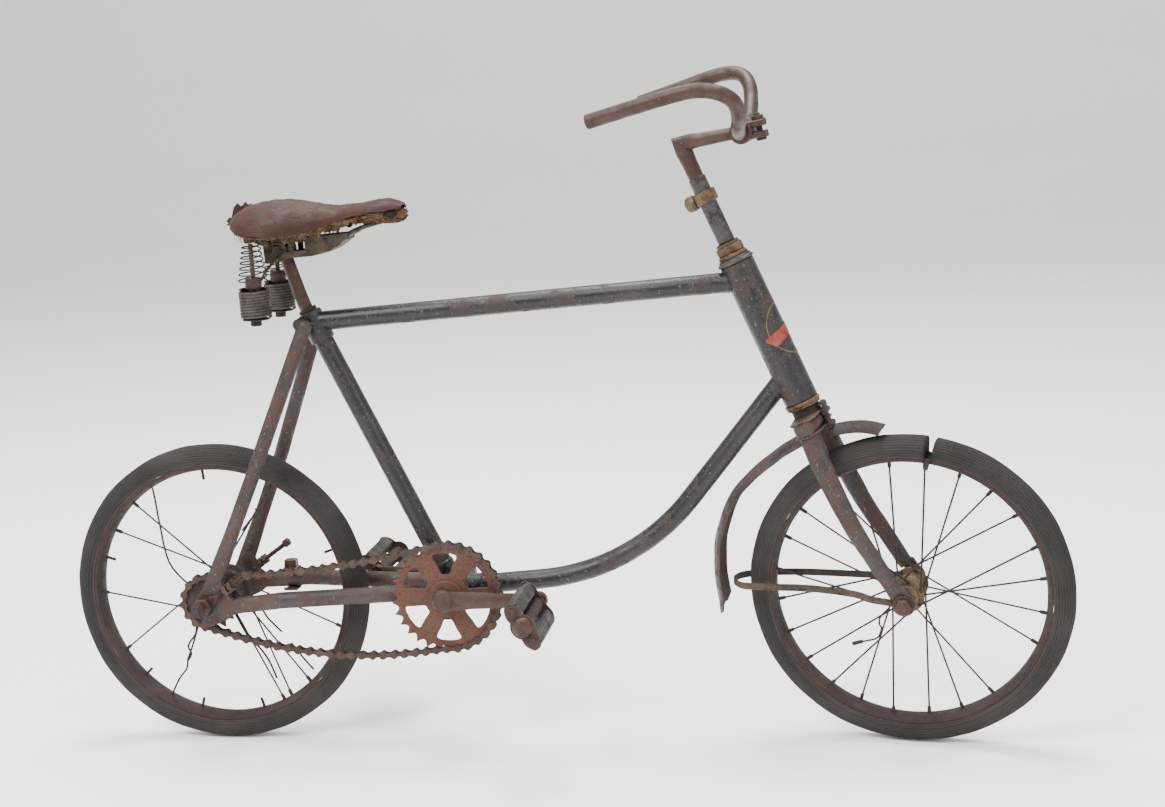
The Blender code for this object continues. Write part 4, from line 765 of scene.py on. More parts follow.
# The fork's enamel has gone further: purple-brown rust with pale scratches down the blades.
FORK_ENAMEL = Finish(
    "stove_enamel_fork", "enamel", "#3a3232", "#543d36", "#8d7f78", "#675950",
    patch_mm=20, patch_share=0.5, spot_mm=2.8, spot_share=0.12, dirt_share=0.2, roughness=(0.36, 0.8),
    scratch_share=0.08, scratch="#8f827c",
)
# Mild steel under an even coat of orange-brown rust, powdery and quite matt.
ORANGE_RUST = Finish(
    "mild_steel_orange_rust", "rust", "#5c3a2d", "#714433", "#3f2b24", "#7c6353",
    patch_mm=14, patch_share=0.45, spot_mm=2.2, spot_share=0.28, dirt_share=0.2, roughness=(0.55, 0.85),
    patch_edge=0.12, patch_relief_mm=0.15,
)
# Crank, stem, bar and post, their nickel gone: smooth brown rust with darker scale and a dull gleam.
BROWN_RUST = Finish(
    "steel_brown_rust", "rust", "#4c2e24", "#38241c", "#8b7a6b", "#5d4a42",
    patch_mm=16, patch_share=0.4, spot_mm=2.0, spot_share=0.09, dirt_share=0.14, roughness=(0.34, 0.68),
    patch_edge=0.1, patch_relief_mm=0.18,
)
# Rims, spokes and small steel pieces: almost black scale with brown bloom.
DARK_RUST = Finish(
    "steel_dark_scale", "dark_rust", "#342c2c", "#45332e", "#241d1b", "#594b44",
    patch_mm=10, patch_share=0.48, spot_mm=1.8, spot_share=0.3, dirt_share=0.2, roughness=(0.68, 0.9),
)
# Zinc-dull steel, grey and lightly pitted.
GREY_STEEL = Finish(
    "dull_grey_steel", "dull_steel", "#504e4d", "#403b39", "#352d28", "#6b6662",
    patch_mm=9, patch_share=0.4, spot_mm=1.6, spot_share=0.24, dirt_share=0.3, roughness=(0.45, 0.75), metallic=0.35,
    relief_mm=0.12, patch_relief_mm=0.1,
)
# Brass or bronze-washed steel, tarnished to dirty tan.
TARNISHED_BRASS = Finish(
    "tarnished_brass", "brass", "#7a5f42", "#5a4532", "#3f3228", "#8a7660",
    patch_mm=8, patch_share=0.42, spot_mm=1.6, spot_share=0.26, dirt_share=0.35, roughness=(0.42, 0.75), metallic=0.45,
    relief_mm=0.12, patch_relief_mm=0.1,
)
# The springs' tight coils: bare wire, grey-brown where the turns rub.
GREY_RUST = Finish(
    "spring_wire_grey_brown", "dark_rust", "#4d443f", "#3e332f", "#2c2422", "#6b5f58",
    patch_mm=9, patch_share=0.4, spot_mm=1.5, spot_share=0.22, dirt_share=0.25, roughness=(0.45, 0.75),
)
# Dry mud and tan dust caked on steel, as on the front hub.
CAKED_MUD = Finish(
    "steel_caked_mud", "dark_rust", "#75603f", "#574433", "#3a3028", "#8b7757",
    patch_mm=7, patch_share=0.45, spot_mm=1.8, spot_share=0.28, dirt_share=0.35, roughness=(0.75, 0.93),
)
# Iron strip with a thin coat of tan dust over brown rust, as the near arm of the guard's stay.
DUSTY_STEEL = Finish(
    "iron_strip_dusted", "dark_rust", "#504136", "#3f332d", "#2e2622", "#6d5b49",
    patch_mm=9, patch_share=0.42, spot_mm=2.0, spot_share=0.26, dirt_share=0.4, roughness=(0.7, 0.92),
)
# Solid tyre rubber, perished: grey-brown chalk over black, with fine cracks.
TYRE_RUBBER = Finish(
    "perished_tyre_rubber", "tyre", "#302e2e", "#413d3b", "#1e1b1b", "#5a534d",
    patch_mm=30, patch_share=0.45, patch_edge=0.16, spot_mm=1.6, spot_share=0.2, dirt_share=0.24,
    roughness=(0.82, 0.95), relief_mm=0.3, patch_relief_mm=0.05,
)
# Moulded pedal rubber, dark and hard, its ridges greyed by dust.
BLOCK_RUBBER = Finish(
    "hardened_pedal_rubber", "rubber", "#2d2a28", "#3d3835", "#1e1b19", "#5c554f",
    patch_mm=12, patch_share=0.4, patch_edge=0.14, spot_mm=1.4, spot_share=0.2, dirt_share=0.35,
    roughness=(0.4, 0.8), relief_mm=0.2, patch_relief_mm=0.05,
)
# Saddle hide dried hard: red-brown with darker streaks along it, cracked, hardly any shine.
DRY_LEATHER = Finish(
    "dried_saddle_leather", "leather", "#4c2b22", "#633b2f", "#20120e", "#82604c",
    patch_mm=15, patch_share=0.42, patch_edge=0.1, spot_mm=1.8, spot_share=0.2, dirt_share=0.14,
    roughness=(0.46, 0.8), relief_mm=0.45, patch_relief_mm=0.3, stretch=(0.42, 1.0, 1.0), depth=(0.2, 0.46), gloss=0.2,
)
# The under side of the hide and its padding, tan and fibrous.
HORSEHAIR = Finish(
    "matted_horsehair", "leather", "#5c3f2a", "#96693f", "#1f1510", "#b09674",
    patch_mm=4.5, patch_share=0.4, patch_edge=0.12, spot_mm=1.6, spot_share=0.42, dirt_share=0.3,
    roughness=(0.9, 0.97), grain_mm=0.5, relief_mm=0.7, patch_relief_mm=0.2, stretch=(1.0, 1.0, 2.2),
)
# The saddle's casting: bare malleable iron gone olive and tan, dusty in its corners.
OLIVE_IRON = Finish(
    "malleable_iron_olive", "rust", "#4f4534", "#3d3429", "#2c2420", "#756850",
    patch_mm=8, patch_share=0.42, spot_mm=1.8, spot_share=0.24, dirt_share=0.35, roughness=(0.6, 0.88),
)
# Painted shade: the inside of a tear in the hide is so deep in shade that it looks black, so this finish is
# near-black.
PAINTED_SHADE_HOLLOW = Finish(
    "painted_shade_in_tear", "leather", "#1d1512", "#261b17", "#120d0b", "#3a2c25",
    patch_mm=5, patch_share=0.4, spot_mm=1.2, spot_share=0.2, dirt_share=0.15, roughness=(0.85, 0.95),
)
# Roller chain seized in rust, brown with grey rubbed edges.
CHAIN_RUST = Finish(
    "chain_seized_rust", "chain", "#4a3b33", "#5d463a", "#302723", "#6f5f53",
    patch_mm=7, patch_share=0.45, spot_mm=1.5, spot_share=0.28, dirt_share=0.3, roughness=(0.66, 0.88),
)
# What is left of the gold lining on the head.
GOLD_LINE = Finish(
    "gilt_lining_faded", "enamel", "#94815c", "#6f614a", "#4b4440", "#8d8068",
    patch_mm=5, patch_share=0.35, spot_mm=1.2, spot_share=0.3, roughness=(0.5, 0.8), patch_relief_mm=0.02,
)
# The red band of the head's plain transfer, sun-bleached and flaking.
RED_BAND = Finish(
    "red_transfer_faded", "enamel", "#a8362b", "#8a3a31", "#5b3a36", "#b98b80",
    patch_mm=6, patch_share=0.35, spot_mm=1.3, spot_share=0.3, roughness=(0.5, 0.8), patch_relief_mm=0.02,
)
# Plain pale paper sweep for the floor.
PALE_FLOOR = Finish(
    "pale_floor", "enamel", "#fbfbfa", "#f9f9f8", "#f8f8f7", "#fafaf9",
    patch_mm=400, patch_share=0.4, patch_edge=0.3, spot_mm=60, spot_share=0.1, dirt_share=0.2,
    roughness=(0.85, 0.9), grain_mm=3.0, relief_mm=0.01, patch_relief_mm=0.001, depth=(0.97, 1.02),
)


# Pieces


@dataclass
class Piece:
    """One object of the part while it is being made: its name, its station and its shapes with their finishes."""

    name: str
    station: Station
    shapes: list[tuple[Form, Finish]] = field(default_factory=list)

    def add(self, form: Form, finish: Finish) -> None:
        """Adds a closed shape in this finish."""
        self.shapes.append((form, finish))

    def make(self, *nodes: str) -> bpy.types.Object:
        """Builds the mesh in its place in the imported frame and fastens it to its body.

        Args:
            nodes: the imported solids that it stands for.

        Returns:
            The finished object.
        """
        matrix = placing(self.station)
        points, faces, slots, start = [], [], [], 0
        finishes = list(dict.fromkeys(finish for _, finish in self.shapes))
        for form, finish in self.shapes:
            placed = form.placed(matrix)
            points.append(placed.points)
            for group in placed.faces:
                faces += (group + start).tolist()
                slots += [finishes.index(finish)] * len(group)
            start += len(placed.points)
        mesh = bpy.data.meshes.new(self.name)
        mesh.from_pydata(np.vstack(points).tolist(), [], faces)
        mesh.polygons.foreach_set("material_index", np.array(slots, np.int32))
        for finish in finishes:
            mesh.materials.append(finish.material())
        outward = bmesh.new()
        outward.from_mesh(mesh)
        bmesh.ops.recalc_face_normals(outward, faces=outward.faces)
        outward.to_mesh(mesh)
        outward.free()
        mesh.shade_smooth()
        mesh.set_sharp_from_angle(angle=SHARP_EDGE)
        made = bpy.data.objects.new(self.name, mesh)
        bpy.context.scene.collection.objects.link(made)
        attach(made, self.station.body)
        if nodes:
            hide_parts(*nodes)
        log.info("%s: %d faces on %s", self.name, len(faces), self.station.body)
        return made


# Wheels


@dataclass
class Wheel:
    """What both wheels share: a solid tyre, a hollow rim and wire spokes between flanges."""

    prefix: str
    station: Station
    radius: float = 0.178
    tyre_height: float = 0.0235
    tyre_half_width: float = 0.0155
    rim_half_width: float = 0.013
    rim_depth: float = 0.0068
    rim_bed: float = 0.0003
    spoke_radius: float = 0.0011
    nipple_radius: float = 0.0021
    nipple_length: float = 0.011
    groove_pitch: float = 0.0032
    groove_depth: float = 0.00095
    split_angle: float | None = None
    split_depth: float = 0.0205
    split_half_width: float = 0.0046

    @property
    def rim_edge(self) -> float:
        """The radius of the rim's outer edge."""
        return self.radius - self.tyre_height - self.rim_bed

    def tyre_profile(self) -> np.ndarray:
        """The tyre's section: a smooth curve from bead to bead, cut by fine grooves along its length.

        The grooves push the curve in along its normal by a sharpened cosine of the distance along it.

        Returns:
            The section's (radius, y) points.
        """
        rows = ((0.0, -0.8), (0.22, -0.96), (0.45, -1.0), (0.72, -0.82), (0.92, -0.45), (1.0, 0.0),
                (0.92, 0.45), (0.72, 0.82), (0.45, 1.0), (0.22, 0.96), (0.0, 0.8))
        seat = self.radius - self.tyre_height
        curve = smooth_path([(seat + self.tyre_height * h, self.tyre_half_width * w) for h, w in rows], 9)
        ahead = unit(np.gradient(curve, axis=0))
        distance = distances(curve)
        share = distance / distance[-1]
        groove = (0.5 + 0.5 * np.cos(tau * distance / self.groove_pitch)) ** 3 * self.groove_depth
        groove *= np.clip((0.5 - np.abs(share - 0.5)) * 12, 0, 1)
        inward = np.column_stack([-ahead[:, 1], ahead[:, 0]])
        centre = np.array((seat + self.tyre_height * 0.4, 0.0))
        facing_in = np.sign(np.sum(inward * (centre - curve), axis=1, keepdims=True))
        return curve + inward * facing_in * groove[:, None]

    def tyre(self) -> None:
        """The tyre, with a slow unevenness round it and, on the front one, a split down to the rim."""
        angles = tau * np.arange(240) / 240
        if self.split_angle is not None:
            near = self.split_angle + np.linspace(-0.042, 0.042, 57)
            angles = np.unique(np.round(np.mod(np.concatenate([angles, near]), tau), 6))
        profile = self.tyre_profile()
        form = ring(profile, angles=angles)
        grid = form.points.reshape(len(profile), len(angles), 3)
        seat = self.radius - self.tyre_height
        height = np.clip((np.hypot(grid[..., 0], grid[..., 2]) - seat) / self.tyre_height, 0, 1)
        around = angles[None, :]
        swell = 0.0005 * np.sin(3 * around + 1.0) + 0.0003 * np.sin(7 * around) + 0.0002 * np.sin(17 * around + 2)
        sink = -np.abs(swell) * height
        if self.split_angle is not None:
            gap = (np.mod(around - self.split_angle + pi, tau) - pi) * self.radius
            slant = 0.0018 * np.sin(grid[..., 1] / self.tyre_half_width * 2.0)
            cut = np.exp(-(((gap + slant) / self.split_half_width) ** 8)) * np.clip(height * 2.5, 0, 1)
            sink = sink - self.split_depth * cut
        direction = np.stack([np.cos(around), 0 * around, np.sin(around)], axis=-1)
        form.points = (grid + direction * sink[..., None]).reshape(-1, 3)
        piece = Piece(f"{self.prefix}_tyre_dressed", self.station)
        piece.add(form, TYRE_RUBBER)
        for side in (-1, 1):
            seat, y = self.rim_edge, side * (self.rim_half_width - 0.0003)
            bead = ((seat + 0.0004, y), (seat + 0.0016, y - side * 0.0002), (seat + 0.0016, y + side * 0.0006),
                    (seat + 0.0004, y + side * 0.0006))
            piece.add(ring(bead, 160), BROWN_RUST)
        if self.split_angle is not None:
            away = np.array((cos(self.split_angle), 0.0, sin(self.split_angle)))
            along = np.array((-away[2], 0.0, away[0]))
            foot = away * (seat + 0.0052)
            piece.add(swept([foot - along * 0.006 - (0, 0.004, 0), foot, foot + along * 0.006 + (0, 0.003, 0)],
                            0.0013, sides=10), TYRE_RUBBER)
        piece.make(f"{self.prefix}_tyre")

    def rim(self) -> Form:
        """The rim: a shallow channel with rolled edges and a rounded inner face.

        Returns:
            The closed shape.
        """
        edge, half, inner = self.rim_edge, self.rim_half_width, self.rim_edge - self.rim_depth
        right = [(edge, -half * 0.99), (edge - 0.0012, -half), (edge - 0.003, -half), (edge - 0.004, -half * 0.93),
                 (inner + 0.0018, -half * 0.62), (inner + 0.0004, -half * 0.42), (inner, -half * 0.2)]
        return ring(mirrored(right), 160)

    def spoke(self, start: np.ndarray, end: np.ndarray) -> list[Form]:
        """One straight spoke with its head in the flange and its nipple in the rim.

        Args:
            start: its head in the flange.
            end: its end in the rim.

        Returns:
            The wire, its nipple and its head.
        """
        foot = end - unit(end - start) * self.nipple_length
        wide = self.nipple_radius
        nipple = ((wide * 0.7, 0.0), (wide, 0.0012), (wide, self.nipple_length))
        out = TO_THE_LEFT * np.sign(start[1])
        return [
            swept([start, end], self.spoke_radius, sides=8, across=(0.3, 0.9, 0.3)),
            turned(foot, end, nipple, 10),
            rod(start - out * 0.002, start + out * 0.0022, 0.002, 0.0006, 10),
        ]


@dataclass
class FrontWheel(Wheel):
    """The steered wheel: nearly all its spokes, one broken and hanging from the near flange."""

    prefix: str = "front"
    station: Station = Station.FRONT_WHEEL
    split_angle: float | None = radians(81.0)
    spoke_count: int = 24
    missing: int = 21
    flange_radius: float = 0.019
    flange_y: float = 0.02
    lean: float = radians(58)
    hole_inset: float = 0.0022
    spoke_offset: float = 0.0018
    rim_hole_y: float = 0.002

    def spokes(self) -> list[Form]:
        """The whole spokes, each tangent to its flange, and the broken one in its bends.

        Returns:
            The closed shapes.
        """
        forms = []
        reach, edge = self.flange_radius - self.hole_inset, self.rim_edge - self.rim_depth / 2
        for number in (k for k in range(self.spoke_count) if k != self.missing):
            side = -1 if number % 2 else 1
            lean = 1 if (number // 2) % 2 else -1
            at_rim = tau * (number + 0.5) / self.spoke_count
            at_hub = at_rim + lean * self.lean
            start_y = side * self.flange_y + lean * self.spoke_offset
            start = np.array((reach * cos(at_hub), start_y, reach * sin(at_hub)))
            end = np.array((edge * cos(at_rim), side * self.rim_hole_y, edge * sin(at_rim)))
            forms += self.spoke(start, end)
        hanging = smooth_path(
            ((-0.015, -0.02, -0.009), (-0.0194, -0.0235, -0.0138), (-0.029, -0.024, -0.0251),
             (-0.03, -0.024, -0.0331), (-0.0281, -0.0235, -0.0384), (-0.0327, -0.023, -0.0495),
             (-0.0442, -0.0215, -0.0543), (-0.0538, -0.0205, -0.0569)), 6)
        forms.append(swept(hanging, self.spoke_radius, sides=8, across=(0, 1, 0)))
        forms.append(rod(hanging[-1] + (0.004, 0, 0.001), hanging[-1] - (0.007, 0, 0.0025), 0.0022, 0.0004, 10))
        return forms

    def hub(self) -> Form:
        """The hub shell: two rounded flanges, a barrel with fillets and a raised oiler band, bored through.

        Returns:
            The closed shape.
        """
        right = [(0.006, -0.029), (0.0105, -0.029), (0.0125, -0.0282), (0.013, -0.0262), (0.013, -0.0216),
                 (0.0182, -0.0215), (0.019, -0.0207), (0.019, -0.0193), (0.0182, -0.0185), (0.014, -0.0182),
                 (0.0127, -0.017), (0.0123, -0.015), (0.0123, -0.006), (0.0132, -0.0054), (0.0132, -0.003)]
        return ring(mirrored(right), 48)

    def build(self) -> None:
        """Makes the tyre, and the rim, hub and spokes as one piece."""
        self.tyre()
        piece = Piece("front_wheel_dressed", self.station)
        piece.add(self.rim(), DARK_RUST)
        piece.add(self.hub(), CAKED_MUD)
        for form in self.spokes():
            piece.add(form, DARK_RUST)
        piece.make("front_wheel")


@dataclass
class RearWheel(Wheel):
    """The driven wheel: a dozen spokes left, several of them loose, bent or broken."""

    prefix: str = "rear"
    station: Station = Station.REAR_WHEEL
    flange_y: float = 0.023
    hub_reach: float = 0.0248
    # each standing wire: its side, and its angles in degrees at the rim and at the flange
    rows: tuple = (
        (-1, 132.6, 63.5), (1, 149.5, 122.1), (-1, 179.3, 221.7), (1, 209.4, 155.6), (-1, 296.4, 326.0),
        (1, 299.6, 327.0), (-1, 312.2, 380.0), (1, 342.6, 361.8), (-1, 61.0, 81.3),
    )
    # where a nipple is left in the rim without its wire, in degrees
    stubs: tuple = (224.2, 255.0, 285.4, 20.0, 95.0, 163.0)
    # loose wires as (x, y, z) in mm from the axle
    loose: tuple = (
        ((-74, -4, 127), (-70, -8, 110), (-66, -12, 88), (-56, -17, 40), (-30, -21, 12), (-20, -23, 8)),
        ((-74.3, -2, -127), (-62, -5, -106), (-50, -9, -92), (-45, -14, -78), (-36, -18, -60), (-20, -22, -22),
         (-12, -23, -12)),
        ((-47, -12, -82), (-40, -15, -72), (-41, -19, -60), (-31, -19, -46), (-27, -23, -34)),
        ((21, -22, -20), (34, -20, -49), (43, -17, -60), (54, -14, -79), (61, -10, -103)),
        ((34, 22, -20), (43, 20, -36), (50, 19, -44), (62, 17, -55)),
        ((74, 12, -67), (84, 10, -78), (88, 8, -83), (102, 4, -97)),
        ((35, -14, 77), (41, -12, 84), (46, -10, 90), (55, -8, 96), (50, -6, 101)),
    )

    def spokes(self) -> list[Form]:
        """The standing wires from flange to rim, the loose ones in their bends and the nipples left behind.

        Returns:
            The closed shapes.
        """
        forms = []
        edge = self.rim_edge - self.rim_depth / 2
        for side, at_rim, at_hub in self.rows:
            rim, hub = radians(at_rim), radians(at_hub)
            start = np.array((self.hub_reach * cos(hub), side * self.flange_y, self.hub_reach * sin(hub)))
            forms += self.spoke(start, np.array((edge * cos(rim), side * 0.002, edge * sin(rim))))
        for angle in np.radians(self.stubs):
            outward = np.array((cos(angle), 0.0, sin(angle)))
            forms.append(rod(outward * edge, outward * (edge - 0.015), self.nipple_radius * 0.8, 0.0004, 10))
        for row in self.loose:
            path = smooth_path(np.array(row) * MM, 5)
            forms.append(swept(path, self.spoke_radius * 1.1, sides=8, across=(0.1, 1, 0.1)))
        return forms

    def hub(self) -> Form:
        """The larger rear shell, its flanges wide apart and its barrel waisted, bored through.

        Returns:
            The closed shape.
        """
        right = [(0.006, -0.029), (0.0185, -0.029), (0.02, -0.028), (0.0202, -0.0248), (0.0262, -0.0246),
                 (0.027, -0.0238), (0.027, -0.0222), (0.0262, -0.0214), (0.0215, -0.021), (0.02, -0.019),
                 (0.0192, -0.015), (0.019, -0.005)]
        return ring(mirrored(right), 56)

    def build(self) -> None:
        """Makes the tyre, and the rim, hub and wires as one piece."""
        self.tyre()
        piece = Piece("rear_wheel_dressed", self.station)
        piece.add(self.rim(), DARK_RUST)
        piece.add(self.hub(), DARK_RUST)
        for form in self.spokes():
            piece.add(form, DARK_RUST)
        piece.make("rear_wheel")


# Drive


def pitch_radius(teeth: int) -> float:
    """The radius on which the chain's pins lie round a sprocket."""
    return CHAIN_PITCH / (2 * sin(pi / teeth))


def toothed_outline(teeth: int, phase: float) -> np.ndarray:
    """A sprocket's edge: the pitch circle plus a wave of one less twice the sine's size, sharp tips, round roots.

    Args:
        teeth: how many teeth.
        phase: the angle that it is turned by.

    Returns:
        The edge's (x, z) points.
    """
    angle = tau * np.arange(teeth * 12) / (teeth * 12)
    radius = pitch_radius(teeth) + 0.0036 * (1 - 2 * np.abs(np.sin(teeth * angle / 2)))
    return arc(radius, angle + phase)


@dataclass
class Crankset:
    """The ring with its six windows, both cranks, the axle and the pedal pins."""

    teeth: int = 30
    windows: int = 6
    window_inner: float = 0.0262
    window_outer: float = 0.0512
    window_half_angle: float = radians(19.5)
    plate_half: float = 0.0015
    inner_y: float = 0.053
    thickness: float = 0.0095
    boss_radius: float = 0.013
    eye_radius: float = 0.01
    pin_radius: float = 0.0042
    pedal_start: float = 0.068
    pedal_length: float = 0.088

    def ring_plate(self) -> Form:
        """The toothed plate. A window is a squarish loop in radius and angle: cosine and sine to the power 2/5.

        Returns:
            The closed shape.
        """
        u, v = squarish(tau * np.arange(40) / 40, 0.4)
        middle, half = (self.window_inner + self.window_outer) / 2, (self.window_outer - self.window_inner) / 2
        holes = []
        for number in range(self.windows):
            radius = middle + half * u
            narrowing = 0.6 + 0.4 * np.clip((radius - self.window_inner) / (2 * half), 0, 1) ** 1.5
            angle = tau * (number + 0.5) / self.windows + self.window_half_angle * v * narrowing
            holes.append(arc(radius, angle))
        outline = toothed_outline(self.teeth, pi / self.teeth)
        return plate(outline, CHAIN_Y - self.plate_half, CHAIN_Y + self.plate_half, tuple(holes))

    def arm(self, side: int) -> list[Form]:
        """One crank: an eight-sided bar that tapers to its eye, round at the axle, with its pedal pin.

        Args:
            side: -1 on the chain's side, 1 on the other.

        Returns:
            The closed shapes.
        """
        middle = side * (self.inner_y + self.thickness / 2)
        path = [(x, middle, 0) for x in (-0.0125, -0.0095, 0.0, 0.012, 0.03, 0.06, self.length - 0.004, self.length)]
        half = self.thickness * 0.54
        widths = np.array((half * 0.7, half, half, half, half, half * 0.95, half * 0.92, half * 0.92))
        heights = np.array((0.007, 0.0112, 0.0128, 0.012, 0.0102, 0.009, 0.0085, 0.0085))
        low, high = side * self.inner_y, side * (self.inner_y + self.thickness)
        forms = [
            swept(path, widths, heights, sides=8),
            rod((0, low - side * 0.004, 0), (0, high + side * 0.0006, 0), self.boss_radius, 0.0022, 40),
            rod((self.length, low, 0), (self.length, high, 0), self.eye_radius, 0.001, 36),
            rod((self.length, side * (self.inner_y + 0.002), 0),
                (self.length, side * (self.pedal_start + self.pedal_length - 0.004), 0), self.pin_radius, sides=16),
            nut((self.length, high, 0), (self.length, high + side * 0.003, 0), 0.0086),
            rod((self.length, low, 0), (self.length, low - side * 0.0022, 0), 0.0042, 0.0006, 16),
        ]
        if side > 0:
            forms = [form.placed(turn(pi, TO_THE_LEFT)) for form in forms]
        return forms

    @property
    def length(self) -> float:
        """From the axle to the pedal's pin."""
        return CRANK_LENGTH

    def build(self) -> None:
        """Makes the whole crankset as one piece."""
        piece = Piece("crankset_dressed", Station.CRANK)
        piece.add(self.ring_plate(), ORANGE_RUST)
        boss = rod((0, -self.inner_y - 0.002, 0), (0, CHAIN_Y + 0.006, 0), self.boss_radius * 0.95, 0.001, 36)
        piece.add(boss, ORANGE_RUST)
        piece.add(rod((0, CHAIN_Y - 0.0015, 0), (0, CHAIN_Y - 0.004, 0), 0.02, 0.0012, 48), ORANGE_RUST)
        piece.add(rod((0, -self.inner_y - 0.002, 0), (0, self.inner_y + 0.002, 0), 0.007), DARK_RUST)
        for side in (-1, 1):
            for form in self.arm(side):
                piece.add(form, BROWN_RUST)
        piece.make("crankset")


@dataclass
class Pedal:
    """Two fluted rubber blocks between rusty end plates, with a domed cap at the outer end."""

    name: str
    station: Station
    side: int
    start: float = 0.068
    length: float = 0.088
    block_width: float = 0.016
    block_height: float = 0.0186
    pitch: float = 0.037
    plate_thickness: float = 0.0022
    plate_end: float = 0.0102

    def end_plate(self) -> np.ndarray:
        """A figure-of-eight outline: its half height is least over the pin and greatest over each block.

        Returns:
            The outline's (x, z) points.
        """
        angle = tau * np.arange(56) / 56
        x = (self.pitch / 2 + self.plate_end) * np.cos(angle)
        bulge = 0.0086 + 0.0022 * np.exp(-(((np.abs(x) - self.pitch / 2) / 0.008) ** 2))
        z = np.sign(np.sin(angle)) * np.abs(np.sin(angle)) ** 0.6 * bulge
        return np.column_stack([x, z])

    def block(self, offset: float) -> Form:
        """A rubber block: a rounded square section whose long faces carry five flutes, swollen a little midway.

        Args:
            offset: its middle along the plate.

        Returns:
            The closed shape.
        """
        u, v = squarish(tau * np.arange(96) / 96, 0.42)
        flute = 0.001 * (0.5 + 0.5 * np.cos(tau * u * 2.5)) ** 2 * (np.abs(v) > 0.9)
        x = offset + u * self.block_width / 2
        z = v * (self.block_height / 2 - flute)
        low, high = self.start + 0.0025, self.start + self.length - 0.0025
        y = np.linspace(low, high, 9)
        round_off = np.array((0.93, 0.985, 1, 1, 1, 1, 1, 0.985, 0.93))[:, None]
        points = np.stack([offset + (x - offset)[None] * round_off, np.repeat(self.side * y[:, None], 96, 1),
                           z[None] * round_off], axis=-1)
        last = 8 * 96
        return Form(points.reshape(-1, 3), [grid_quads(9, 96), np.arange(96)[None], np.arange(96)[None] + last])

    def build(self) -> None:
        """Makes the metal frame and the two blocks."""
        end, side = self.start + self.length, self.side
        metal = Piece(f"{self.name}_pedal_metal", self.station)
        for low in (self.start, end - self.plate_thickness):
            ends = sorted((side * low, side * (low + self.plate_thickness)))
            metal.add(plate(self.end_plate(), *ends, edge=0.0004), BROWN_RUST)
        metal.add(rod((0, side * self.start, 0), (0, side * (end - 0.001), 0), 0.0075), DARK_RUST)
        cap = ((0.0136, 0.0), (0.0137, 0.0012), (0.0122, 0.0016), (0.0114, 0.0018), (0.0112, 0.0034),
               (0.0098, 0.0052), (0.007, 0.0064), (0.0035, 0.007), (0.0008, 0.0072))
        metal.add(turned((0, side * (end - 0.002), 0), (0, side * (end + 0.005), 0), cap, 32), BROWN_RUST)
        for offset in (-self.pitch / 2, self.pitch / 2):
            metal.add(rod((offset, side * self.start, 0), (offset, side * (end - 0.001), 0), 0.0029), DARK_RUST)
            metal.add(rod((offset, side * (end - 0.0004), 0), (offset, side * (end + 0.0008), 0), 0.007, 0.0004, 28),
                      BROWN_RUST)
            metal.add(nut((offset, side * end, 0), (offset, side * (end + 0.0032), 0), 0.0048, 0.0007), DARK_RUST)
        metal.make(f"{self.name}_pedal_frame")
        for number, offset in ((1, -self.pitch / 2), (2, self.pitch / 2)):
            rubber = Piece(f"{self.name}_pedal_rubber_{number}", self.station)
            rubber.add(self.block(offset), BLOCK_RUBBER)
            rubber.make(f"{self.name}_pedal_block_{number}")


